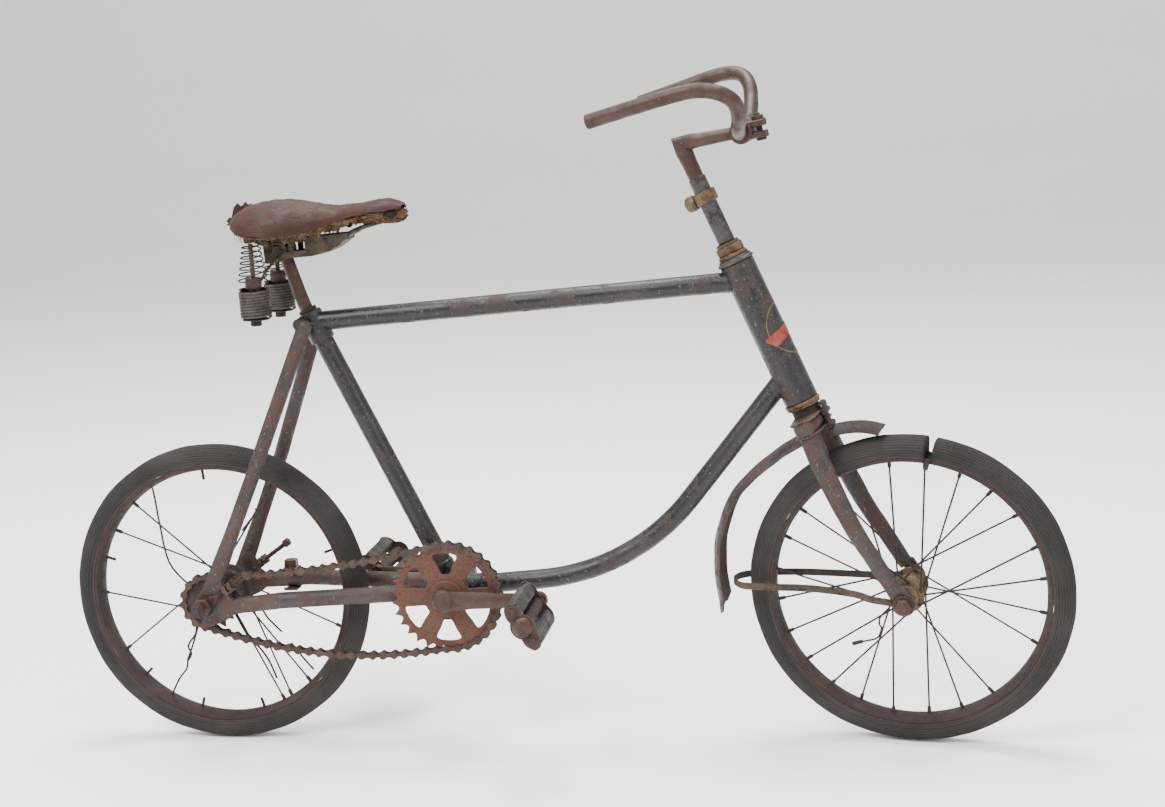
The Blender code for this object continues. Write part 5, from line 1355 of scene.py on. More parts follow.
@dataclass
class Chain:
    """The roller chain's run round the ring and the rear sprocket, slack below, with every link's two cheeks."""

    ring_teeth: int = 30
    sprocket_teeth: int = 15
    slack: float = 0.0185
    upper_sag: float = 0.009
    cheek_inner: float = 0.003
    cheek_thickness: float = 0.0009
    roller_radius: float = 0.0038

    def pitch_line(self) -> tuple[np.ndarray, np.ndarray]:
        """The closed line of the pins, as evenly spaced (x, z) points, and which of them are free of both wheels.

        It runs over the ring on its arc, back below with a parabola's sag, round the sprocket and back above.

        Returns:
            The points, and a true or false for each.
        """
        big, small = pitch_radius(self.ring_teeth), pitch_radius(self.sprocket_teeth)
        centre, rear = BRACKET[[0, 2]], REAR_AXLE[[0, 2]]
        across = centre - rear
        tilt, spread = atan2(across[1], across[0]), (big - small) / hypot(*across)
        upper, lower = tilt + atan2(sqrt(1 - spread**2), -spread), tilt - atan2(sqrt(1 - spread**2), -spread)
        front = centre + arc(big, np.linspace(upper, lower, 200))
        back = rear + arc(small, np.linspace(lower, lower - (tau - (upper - lower)), 200))
        share = np.linspace(0, 1, 200)[1:-1, None]
        below = front[-1] + (back[0] - front[-1]) * share
        below[:, 1] -= (self.slack * 4 * share * (1 - share))[:, 0]
        above = back[-1] + (front[0] - back[-1]) * share
        above[:, 1] -= (self.upper_sag * 4 * share * (1 - share))[:, 0]
        line = np.vstack([front, below, back, above, front[:1]])
        distance = distances(line)
        count = int(round(distance[-1] / CHAIN_PITCH / 2)) * 2
        at = np.linspace(0, distance[-1], count, endpoint=False)
        pins = np.column_stack([np.interp(at, distance, line[:, axis]) for axis in (0, 1)])
        off_ring = np.linalg.norm(pins - centre, axis=1) > big + 0.0025
        off_sprocket = np.linalg.norm(pins - rear, axis=1) > small + 0.0025
        return pins, off_ring & off_sprocket

    def cheek(self, start: np.ndarray, end: np.ndarray, y: float) -> Form:
        """One link cheek: two rounded ends and a waist, its half height a raised cosine of the way along.

        Args:
            start: one pin's (x, z).
            end: the next pin's.
            y: its place across the chain.

        Returns:
            The closed shape.
        """
        turn_on = np.linspace(-pi / 2, pi / 2, 5)
        end_round = np.column_stack([0.5 + 0.37 * np.cos(turn_on), 0.37 * np.sin(turn_on)])
        half_outline = np.vstack([end_round, [(0.22, 0.2), (0.0, 0.16), (-0.22, 0.2)]])
        outline = np.vstack([half_outline, -half_outline]) * CHAIN_PITCH
        along = unit(end - start)
        aside = np.array((-along[1], along[0]))
        place = (start + end) / 2 + outline[:, :1] * along + outline[:, 1:] * aside
        return plate(place, y - self.cheek_thickness / 2, y + self.cheek_thickness / 2)

    def build(self) -> None:
        """Makes all links, with rollers on the free runs and short pin stubs where the teeth pass."""
        pins, free = self.pitch_line()
        piece = Piece("chain_dressed", Station.FRAME)
        after = np.roll(pins, -1, axis=0)
        for number, (start, end) in enumerate(zip(pins, after)):
            out = self.cheek_inner + (0.0011 if number % 2 else 0.0)
            for y in (CHAIN_Y - out, CHAIN_Y + out):
                piece.add(self.cheek(start, end, y), CHAIN_RUST)
            x, z = start
            if free[number]:
                piece.add(rod((x, CHAIN_Y - 0.005, z), (x, CHAIN_Y + 0.005, z), 0.0017, 0.0003, 8), CHAIN_RUST)
                piece.add(rod((x, CHAIN_Y - 0.0024, z), (x, CHAIN_Y + 0.0024, z), self.roller_radius, 0.0003, 12),
                          CHAIN_RUST)
                continue
            for low, high in ((-0.005, -0.0027), (0.0027, 0.005)):
                piece.add(rod((x, CHAIN_Y + low, z), (x, CHAIN_Y + high, z), 0.0017, 0.0003, 8), CHAIN_RUST)
        piece.make("chain")


@dataclass
class RearSprocket:
    """The small sprocket on its driver beside the hub."""

    teeth: int = 15

    def build(self) -> None:
        """Makes the sprocket and the driver's stepped sleeve as one piece."""
        piece = Piece("rear_sprocket_dressed", Station.REAR_SPROCKET)
        outline = toothed_outline(self.teeth, pi / self.teeth)
        piece.add(plate(outline, CHAIN_Y - 0.0015, CHAIN_Y + 0.0015, (circle(0.011, 40),)), DARK_RUST)
        profile = [(0.0052, CHAIN_Y - 0.0035), (0.0125, CHAIN_Y - 0.0035), (0.014, CHAIN_Y - 0.0022),
                   (0.017, CHAIN_Y - 0.0015), (0.017, -0.03), (0.016, -0.0293), (0.0052, -0.0293)]
        piece.add(ring(profile, 44), DARK_RUST)
        piece.make("rear_sprocket")


# Frame


@dataclass
class Frame:
    """The enamelled tubes with their lugs, the bracket and both pairs of stays with the ends they meet in."""

    tube: float = 0.0112
    head: float = 0.019
    seat_stay: float = 0.0082
    chain_stay: float = 0.0082
    stay_spread: float = 0.047
    end_y: float = 0.055
    end_thickness: float = 0.005

    def dented(self, form: Form, depth: float = 0.0003, seed: float = 0.0) -> Form:
        """The same tube with shallow dents: its points pushed about by a slow unevenness."""
        form.points = form.points + (unevenness(form.points, 0.09, seed) * depth)[:, None]
        return form

    def head_tube(self) -> None:
        """The head tube and the plain transfer wrapped round its front: a gilt ring and a plain red band."""
        piece = Piece("head_tube_dressed", Station.FRAME)
        profile = [(0.015, 0.0), (0.0182, 0.0), (0.019, 0.0008), (0.019, HEAD_LENGTH - 0.0008),
                   (0.0182, HEAD_LENGTH), (0.015, HEAD_LENGTH)]
        tube = ring(profile, 56).placed(facing(on_head(0), on_head(HEAD_LENGTH)))
        piece.add(self.dented(tube, 0.00015), WORN_ENAMEL)
        piece.make("head_tube")
        mark = Piece("head_transfer", Station.FRAME)

        def wrapped(across: np.ndarray, down: np.ndarray, lift: float) -> np.ndarray:
            """Flat points rolled onto the head from its front: across becomes a bearing and down stays a length.

            Args:
                across: how far round from the front line.
                down: how far below the head's top.
                lift: the height over the tube.

            Returns:
                The points in place.
            """
            radius = self.head + lift
            bearing = (across / radius)[..., None]
            around = AHEAD_OF_HEAD * np.cos(bearing) - TO_THE_LEFT * np.sin(bearing)
            return HEAD_TOP - UP_THE_HEAD * down[..., None] + around * radius

        angle = tau * np.arange(97) / 96
        line = 0.0305 + np.linspace(-0.00042, 0.00042, 3)[:, None]
        lining = wrapped(line * np.cos(angle), 0.086 + line * np.sin(angle), 0.0003)
        mark.add(sheet(lining, 0.0002), GOLD_LINE)
        u, v = np.meshgrid(np.linspace(0, 1, 40), np.linspace(-1, 1, 8))
        across = -0.012 + 0.0455 * u - 0.0035 * v * u
        half = (0.0056 + 0.0016 * u) * np.clip((1.04 - u) * 14, 0.3, 1)
        strip = wrapped(across, 0.0862 + 0.009 * np.clip(across / 0.0345, 0, 1) + half * v, 0.0004)
        mark.add(sheet(strip, 0.0002), RED_BAND)
        mark.make()

    def tubes(self) -> None:
        """Top, seat and down tubes, brazed smooth at the head, and the seat lug with its bolt ears."""
        down_seat = unit(BRACKET - SEAT_LUG)
        lug_end = SEAT_LUG + down_seat * 0.0243
        seat = Piece("seat_tube_dressed", Station.FRAME)
        seat.add(self.dented(rod(lug_end - down_seat * 0.004, BRACKET - down_seat * 0.016, self.tube, sides=36)),
                 WORN_ENAMEL)
        seat.add(rod(BRACKET - down_seat * 0.033, BRACKET - down_seat * 0.016, self.tube + 0.0018, 0.001, 36),
                 WORN_ENAMEL)
        seat.make("seat_tube")
        top = Piece("top_tube_dressed", Station.FRAME)
        joint = on_head(0.0225)
        along = unit(joint - SEAT_LUG)
        top.add(self.dented(rod(SEAT_LUG + along * 0.008, joint - along * 0.01, self.tube, sides=36), seed=1.0),
                WORN_ENAMEL)
        fillet = ((self.tube, 0.0), (self.tube + 0.0003, 0.003), (self.tube + 0.0012, 0.006))
        top.add(turned(joint - along * 0.0235, joint, fillet, 36), WORN_ENAMEL)
        top.make("top_tube")
        down = Piece("down_tube_dressed", Station.FRAME)
        joint = on_head(0.1335)
        path = bent_path(joint, (0.4894, 0.0, 0.2003), BRACKET, 0.25, 28)
        path[0] += unit(path[1] - path[0]) * 0.01
        path[-1] += unit(path[-2] - path[-1]) * 0.015
        down.add(self.dented(swept(path, self.tube, sides=36), seed=2.0), WORN_ENAMEL)
        back = unit(path[-2] - path[-1])
        down.add(rod(path[-1], path[-1] + back * 0.02, self.tube + 0.0018, 0.001, 36), WORN_ENAMEL)
        down.make("down_tube")
        lug = Piece("seat_lug_dressed", Station.FRAME)
        top_of_lug = SEAT_LUG - down_seat * 0.012
        profile = [(0.0078, 0.0), (0.0125, 0.0), (0.014, 0.0014), (0.014, 0.034), (0.0128, 0.036),
                   (0.0078, 0.036)]
        lug.add(ring(profile, 44).placed(facing(top_of_lug, top_of_lug + down_seat)), WORN_ENAMEL)
        ear = SEAT_LUG + (-0.008, 0, 0)
        lug.add(rod(ear - TO_THE_LEFT * 0.0205, ear + TO_THE_LEFT * 0.0205, 0.0075, 0.0008, 28), WORN_ENAMEL)
        lug.add(nut(ear + TO_THE_LEFT * 0.028, ear + TO_THE_LEFT * 0.0325, 0.0078, 0.001), DARK_RUST)
        lug.add(rod(ear - TO_THE_LEFT * 0.028, ear - TO_THE_LEFT * 0.0318, 0.0072, 0.0016, 24), DARK_RUST)
        lug.make("seat_lug")

    def bracket(self) -> None:
        """The bracket's shell with its two cups, whose rims carry a bevel and a lip."""
        piece = Piece("bracket_shell_dressed", Station.FRAME)
        right = [(0.0165, -0.02), (0.0075, -0.02), (0.0075, -0.0335), (0.0085, -0.034), (0.0155, -0.034),
                 (0.017, -0.033), (0.018, -0.0302), (0.02, -0.03), (0.0206, -0.0292), (0.0206, -0.025),
                 (0.0205, -0.0245)]
        shell = ring(mirrored(right), 56)
        piece.add(shell.placed(shift(BRACKET)), WORN_ENAMEL)
        piece.make("bracket_shell")

    def stay_ends(self, side: int) -> Form:
        """The flattened end where two stays meet, open behind and below for the axle.

        Args:
            side: -1 on the chain's side, 1 on the other.

        Returns:
            The closed shape.
        """
        rows = ((0.003, 0.03), (0.012, 0.032), (0.021, 0.03), (0.025, 0.02), (0.0285, 0.012),
                (0.034, 0.008), (0.0345, -0.001), (0.034, -0.011), (0.026, -0.0165), (0.017, -0.0205),
                (0.008, -0.0245), (0.002, -0.026), (-0.004, -0.0258), (-0.008, -0.023), (-0.005, -0.017),
                (0.001, -0.0075), (0.0053, -0.0022), (0.0053, 0.0022), (0.0022, 0.0053), (-0.0022, 0.0053),
                (-0.008, 0.0018), (-0.013, 0.003), (-0.01, 0.009), (-0.004, 0.016), (0.0, 0.023))
        low = side * self.end_y - self.end_thickness / 2
        return plate(rows, low, low + self.end_thickness, edge=0.0008).placed(shift(REAR_AXLE))

    def stays(self, name: str, side: int) -> None:
        """One seat stay and one chain stay with the end they share, flattened where they enter it.

        Args:
            name: left or right.
            side: -1 on the chain's side, 1 on the other.
        """
        top = SEAT_LUG + (-0.003, side * (0.0205 + self.seat_stay * 0.6), -0.002)
        low = REAR_AXLE + (0.011, side * self.end_y, 0.024)
        path = bent_path(top, (0.068, side * self.stay_spread, 0.332), low, 0.1, 20)
        path = np.vstack([path[:-1], path[-2] + (path[-1] - path[-2]) * np.array([[0.55], [0.8], [1.0]])])
        flat = np.zeros(len(path))
        flat[-3:] = (0.0, 0.7, 1.0)
        seat = Piece(f"{name}_seat_stay_dressed", Station.FRAME)
        seat.add(self.dented(swept(path, self.seat_stay * (1 - 0.62 * flat), self.seat_stay * (1 + 0.25 * flat),
                                   sides=28), 0.0002, side), FORK_ENAMEL)
        cap = top + unit(top - path[1]) * 0.004
        seat.add(turned(top, cap, ((0.0082, 0), (0.0078, 0.003), (0.0055, 0.0062), (0.0015, 0.0074)), 28), FORK_ENAMEL)
        seat.make(f"{name}_seat_stay")
        front = BRACKET + (-0.01, side * 0.019, 0.0)
        rear = REAR_AXLE + (0.028, side * self.end_y, -0.002)
        path = bent_path(front, (0.09, side * (self.stay_spread + 0.002), 0.1815), rear, 0.06, 20)
        flat = np.zeros(len(path))
        flat[-1] = 1.0
        chain = Piece(f"{name}_chain_stay_dressed", Station.FRAME)
        chain.add(self.dented(swept(path, self.chain_stay * (1 - 0.62 * flat), self.chain_stay * 1.15, sides=28),
                              0.0002, 3 + side), FORK_ENAMEL)
        chain.add(self.stay_ends(side), FORK_ENAMEL)
        chain.make(f"{name}_chain_stay")

    def build(self) -> None:
        """Makes every enamelled piece of the frame."""
        self.head_tube()
        self.tubes()
        self.bracket()
        self.stays("right", -1)
        self.stays("left", 1)


@dataclass
class RearFittings:
    """The rear axle with its nuts, the brake's reaction arm with its clip, and both chain adjusters."""

    axle: float = 0.0045
    end_y: float = 0.055
    angle: float = radians(35)

    def axle_set(self) -> None:
        """The threaded axle, its cones, washers and nuts."""
        piece = Piece("rear_axle_dressed", Station.FRAME)

        def at(y: float) -> np.ndarray:
            """A point on the axle."""
            return REAR_AXLE + TO_THE_LEFT * y

        piece.add(thread(at(-0.088), at(0.074), self.axle, 0.0012, 20), DARK_RUST)
        piece.add(rod(at(-0.047), at(-0.0522), 0.0095, 0.0008), DARK_RUST)
        cone = ((0.012, 0.0), (0.015, 0.002), (0.015, 0.011), (0.013, 0.0145))
        piece.add(turned(at(0.0295), at(0.044), cone, 40), DARK_RUST)
        piece.add(nut(at(0.0435), at(0.0522), 0.01), DARK_RUST)
        piece.add(rod(at(-0.0607), at(-0.0622), 0.012, 0.0004, 36), DARK_RUST)
        piece.add(nut(at(-0.062), at(-0.0705), 0.0115), BROWN_RUST)
        piece.add(nut(at(0.0607), at(0.0685), 0.0115), BROWN_RUST)
        piece.add(nut(at(-0.08), at(-0.086), 0.0078), DARK_RUST)
        piece.make("rear_axle")

    def brake_arm(self) -> None:
        """The flat arm from the brake cone forward to a clip bent round the chain stay."""
        piece = Piece("brake_arm_dressed", Station.FRAME)
        eye = arc(0.0142, np.linspace(pi * 0.22, tau - pi * 0.22, 26))
        outline = np.vstack([eye, [(0.03, -0.0092), (0.065, -0.0082), (0.069, -0.006), (0.069, 0.006),
                                   (0.065, 0.0082), (0.03, 0.0092)]])
        inner = self.end_y - 0.0025
        flat = plate(outline, inner - 0.0036, inner - 0.0006, (circle(0.0103, 28),), 0.0004)
        piece.add(flat.placed(shift(REAR_AXLE)), BROWN_RUST)
        x, z = 0.069, 0.1808
        loop = [(x, 0.0385, z - 0.01), (x, 0.0405, z - 0.0128), (x, 0.048, z - 0.0132), (x, 0.059, z - 0.012),
                (x, 0.0612, z - 0.006), (x, 0.0615, z + 0.006), (x, 0.059, z + 0.0118), (x, 0.048, z + 0.0132),
                (x, 0.0405, z + 0.0126), (x, 0.0385, z + 0.01)]
        piece.add(swept(smooth_path(loop, 5), 0.008, 0.0011, 16, (1, 0, 0), 6.0), BROWN_RUST)
        piece.add(rod((x, 0.049, z + 0.012), (x, 0.049, z + 0.019), 0.0032, 0.0004, 14), DARK_RUST)
        piece.add(nut((x, 0.049, z + 0.013), (x, 0.049, z + 0.0225), 0.0084), BROWN_RUST)
        piece.make("brake_arm")

    def adjuster(self, name: str, side: int, length: float, knob: float) -> None:
        """An eye on the axle and a threaded rod, with two nuts and a knob, that points up and forwards.

        Args:
            name: left or right.
            side: -1 on the chain's side, 1 on the other.
            length: how far its rod reaches.
            knob: the knob's length.
        """
        piece = Piece(f"{name}_chain_adjuster_dressed", Station.FRAME)
        face = self.end_y + 0.0028
        ends = sorted((side * face, side * (face + 0.0025)))
        eye = plate(circle(0.0098, 36), *ends, (circle(0.0048, 36),), 0.0003)
        piece.add(eye.placed(shift(REAR_AXLE)), BROWN_RUST)
        along = np.array((cos(self.angle), 0, sin(self.angle)))
        start = REAR_AXLE + TO_THE_LEFT * side * (face + 0.0018)
        piece.add(swept([start + along * s for s in (0.006, 0.012, 0.017, 0.021)], (0.0012, 0.0013, 0.0022, 0.0027),
                        (0.0062, 0.005, 0.0034, 0.0027), 16), BROWN_RUST)
        piece.add(thread(start + along * 0.018, start + along * length, 0.0028, 0.0011, 14), BROWN_RUST)
        for low, high in ((0.03, 0.036), (0.038, 0.043)):
            piece.add(nut(start + along * low, start + along * high, 0.0066), BROWN_RUST)
        piece.add(rod(start + along * (length - knob), start + along * (length + 0.001), 0.0048, 0.0008, 20),
                  BROWN_RUST)
        piece.make(f"{name}_chain_adjuster")

    def build(self) -> None:
        """Makes all the fittings at the rear axle."""
        self.axle_set()
        self.brake_arm()
        self.adjuster("right", -1, 0.064, 0.003)
        self.adjuster("left", 1, 0.078, 0.007)


# Steering


class Head:
    """The races below and above the head tube and the locknut over them."""

    def build(self) -> None:
        """Makes each race and the locknut as turned rings on the head's axis."""
        down = facing(on_head(0), on_head(1))
        low = Piece("lower_head_race_dressed", Station.FRAME)
        start = HEAD_LENGTH + 0.0003
        profile = [(0.015, start), (0.0188, start), (0.0198, start + 0.001), (0.0198, start + 0.0036),
                   (0.019, start + 0.0044), (0.0192, start + 0.006), (0.0184, start + 0.007),
                   (0.015, start + 0.007)]
        low.add(ring(profile, 56).placed(down), TARNISHED_BRASS)
        low.make("lower_head_race")
        cup = Piece("upper_head_race_dressed", Station.FRAME)
        profile = [(0.015, -0.0003), (0.02, -0.0003), (0.0205, -0.0008), (0.0205, -0.0022), (0.0196, -0.003),
                   (0.0184, -0.0042), (0.0182, -0.0056), (0.0172, -0.0063), (0.015, -0.0063)]
        cup.add(ring(profile, 56).placed(down), GREY_STEEL)
        cup.make("upper_head_race")
        lock = Piece("head_locknut_dressed", Station.STEERING)
        flange = [(0.013, -0.0068), (0.016, -0.0068), (0.0166, -0.0074), (0.0166, -0.009), (0.0156, -0.01),
                  (0.015, -0.0112), (0.013, -0.0112)]
        lock.add(ring(flange, 56).placed(down), TARNISHED_BRASS)
        lock.add(nut(on_head(-0.011), on_head(-0.0206), 0.0156), TARNISHED_BRASS)
        lock.add(rod(on_head(-0.02), on_head(-0.0238), 0.0132, 0.0014, 40), TARNISHED_BRASS)
        lock.make("head_locknut")


@dataclass
class Fork:
    """The steerer, the recessed crown with its collar and flange, and two flattened blades with their tips."""

    half_width: float = 0.048
    tip_thickness: float = 0.005
    steerer: float = 0.0127

    def crown(self, piece: Piece) -> None:
        """The crown: a dark recess under the race, a rounded collar between two lips, and a notched lamp bracket.

        Args:
            piece: the fork, to which it is added.
        """
        top = HEAD_LENGTH + 0.0078
        piece.add(rod(on_head(-0.024), on_head(top + 0.029), self.steerer, sides=32), DARK_RUST)
        piece.add(rod(on_head(top), on_head(top + 0.0095), 0.0156, 0.0008, 48), DARK_RUST)
        for drop, grow, half, power in ((0.017, 0.0, 0.0085, 3.0), (0.0095, 0.0018, 0.0014, 2.6),
                                        (0.0252, 0.002, 0.0015, 2.6)):
            bar = [on_head(top + drop, 0, y) for y in (-0.0435, -0.0415, -0.033, 0.0, 0.033, 0.0415, 0.0435)]
            widths = np.array((0.006, 0.0105, 0.014, 0.0155, 0.014, 0.0105, 0.006)) + grow
            piece.add(swept(bar, widths, half, 32, AHEAD_OF_HEAD, power), FORK_ENAMEL)
        bracket = [on_head(top + 0.003, 0.015), on_head(top + 0.004, 0.0215), (0.7104, 0.0, 0.3722),
                   (0.718, 0.0, 0.36), (0.72, 0.0, 0.35)]
        piece.add(swept(smooth_path(bracket, 6), 0.0085, 0.0013, 20, (0, 1, 0), 6.0), DARK_RUST)
        for start, end in zip(bracket[1:4], bracket[2:5]):
            middle = (np.asarray(start) + np.asarray(end)) / 2
            piece.add(rod(middle - (0, 0.01, 0), middle + (0, 0.01, 0), 0.0034, 0.0006, 14), DARK_RUST)

    def blade(self, piece: Piece, side: int) -> None:
        """One blade: an oval bar that thins and curves forward to its flattened tip.

        Args:
            piece: the fork, to which it is added.
            side: -1 on the chain's side, 1 on the other.
        """
        low = HEAD_LENGTH + 0.0408
        rows = [on_head(low - 0.012, 0.0, side * 0.03), on_head(low + 0.02, 0.0, side * 0.038),
                on_head(low + 0.06, 0.001, side * 0.043), on_head(low + 0.105, 0.004, side * 0.046),
                on_head(low + 0.14, 0.0095, side * 0.0475),
                FRONT_AXLE + (-0.008, side * self.half_width, 0.012)]
        path = smooth_path(rows, 8)
        at = np.arange(len(path)) / 8
        widths = np.interp(at, range(6), (0.0095, 0.0096, 0.0092, 0.0082, 0.007, 0.0042))
        heights = np.interp(at, range(6), (0.0122, 0.0118, 0.0108, 0.0098, 0.0092, 0.0085))
        form = swept(path, widths, heights, sides=28)
        form.points = form.points + (unevenness(form.points, 0.05, side) * 0.0002)[:, None]
        piece.add(form, FORK_ENAMEL)
        y_low, y_high = sorted(side * (self.half_width + s * self.tip_thickness / 2) for s in (-1, 1))
        round_end = arc(0.0126, np.linspace(radians(-215), radians(62), 26))
        tip = np.vstack([round_end, [(-0.0005, 0.0205), (-0.0085, 0.0225), (-0.0155, 0.0185)]])
        flat = plate(tip, y_low, y_high, (circle(0.0048, 24),), 0.0007)
        piece.add(flat.placed(shift(FRONT_AXLE)), FORK_ENAMEL)

    def axle(self) -> None:
        """The front axle with cones inside the tips and nuts outside them."""
        piece = Piece("front_axle_dressed", Station.STEERING)

        def at(y: float) -> np.ndarray:
            """A point on the axle."""
            return FRONT_AXLE + TO_THE_LEFT * y

        piece.add(thread(at(-0.06), at(0.06), 0.0045, 0.0012, 20), BROWN_RUST)
        for side in (-1, 1):
            cone = ((0.007, 0.0), (0.0085, 0.0015), (0.0085, 0.012), (0.0078, 0.0157))
            piece.add(turned(at(side * 0.0295), at(side * 0.0452), cone, 28), DARK_RUST)
            piece.add(rod(at(side * 0.0527), at(side * 0.0541), 0.0115, 0.0004, 36), BROWN_RUST)
            piece.add(nut(at(side * 0.0538), at(side * 0.0592), 0.0098), BROWN_RUST)
        piece.make("front_axle")

    def build(self) -> None:
        """Makes the fork and its axle."""
        piece = Piece("fork_dressed", Station.STEERING)
        self.crown(piece)
        for side in (-1, 1):
            self.blade(piece, side)
        piece.make("fork")
        self.axle()


@dataclass
class Mudguards:
    """What is left of the front guard, torn off the wheel's line, with its stay; the bracket on the crown is made with
    the fork.
    """

    half_width: float = 0.017
    arch: float = 0.0088
    thickness: float = 0.0011
    rear_path: tuple = (
        (0.685, 0.0, 0.348), (0.6593, 0.0, 0.3325), (0.6243, 0.0, 0.3039), (0.6014, 0.0, 0.2751),
        (0.588, 0.0, 0.24), (0.5825, 0.0, 0.203), (0.5845, 0.0, 0.17), (0.589, 0.0, 0.135),
    )
    front_path: tuple = ((0.7135, 0.0, 0.359), (0.7287, 0.0, 0.3623), (0.7504, 0.0, 0.3638), (0.7719, 0.0, 0.36))

    def strip(self, rows: tuple, half_width: float, tear: float) -> Form:
        """A guard's strip: a deep arch carried along its path, its edges towards the wheel, its end torn to a point.

        The arch is a parabola of the place across. Each column stops short of the end by the tear times its
        distance from the middle, with a small bumpy number added.

        Args:
            rows: the path's points.
            half_width: half its width.
            tear: the torn end's length.

        Returns:
            The closed shape.
        """
        path = smooth_path(rows, 10)
        side, lift = along_frames(path, (0, 1, 0))
        lift = lift * np.sign(np.sum(lift * (path - FRONT_AXLE), axis=1, keepdims=True))
        u = np.linspace(-1, 1, 29)
        ragged = (0.08 + 0.84 * np.abs(u - 0.1) + 0.08 * np.sin(u * 13 + 0.6)) * tear
        distance = distances(path)
        v = np.linspace(0, 1, 90)[:, None]
        at = v * (distance[-1] - ragged)
        middle, out, over = (np.stack([np.interp(at, distance, a[:, k]) for k in range(3)], -1)
                             for a in (path, side, lift))
        rise = self.arch * (0.7 - u**2) - 0.001 * np.clip(np.abs(u) - 0.88, 0, 1) / 0.12
        sag = unevenness(middle, 0.06, 4.0)[..., None] * 0.0007
        surface = middle + out * (u * half_width)[None, :, None] + over * rise[None, :, None] + over * sag
        return sheet(surface, self.thickness)

    def stay(self) -> None:
        """The flat iron bent into a long loop behind the wheel, an eye on each axle end."""
        face = 0.0508
        level = face + 0.0008
        near = [(0.7907, -level, 0.1785), (0.7829, -level, 0.1806), (0.76, -level, 0.1836),
                (0.7408, -0.049, 0.188), (0.6923, -0.042, 0.1895), (0.64, -0.035, 0.1862), (0.612, -0.027, 0.184)]
        far = [(0.7907, level, 0.178), (0.7561, 0.048, 0.1762), (0.6666, 0.039, 0.179), (0.612, 0.028, 0.1785)]
        path = smooth_path([*near, (0.5985, 0.0, 0.1815), *far[::-1]], 10)
        half = len(near) * 10
        piece = Piece("mudguard_stay_dressed", Station.STEERING)
        for part, finish in ((path[: half + 1], DUSTY_STEEL), (path[half:], DARK_RUST)):
            piece.add(swept(part, 0.004, 0.0008, 16, (0, 0, 1), 5.0), finish)
        for side in (-1, 1):
            ends = sorted((side * face, side * (face + 0.0016)))
            eye = plate(circle(0.0095, 32), *ends, (circle(0.0049, 32),), 0.0003)
            piece.add(eye.placed(shift(FRONT_AXLE)), DUSTY_STEEL if side < 0 else DARK_RUST)
        piece.make("mudguard_stay")

    def build(self) -> None:
        """Makes both strips and the stay."""
        rear = Piece("rear_mudguard_dressed", Station.STEERING)
        rear.add(self.strip(self.rear_path, self.half_width, 0.026), FORK_ENAMEL)
        rear.make("rear_mudguard")
        front = Piece("front_mudguard_dressed", Station.STEERING)
        front.add(self.strip(self.front_path, self.half_width * 0.92, 0.004), DARK_RUST)
        front.make("front_mudguard")
        self.stay()


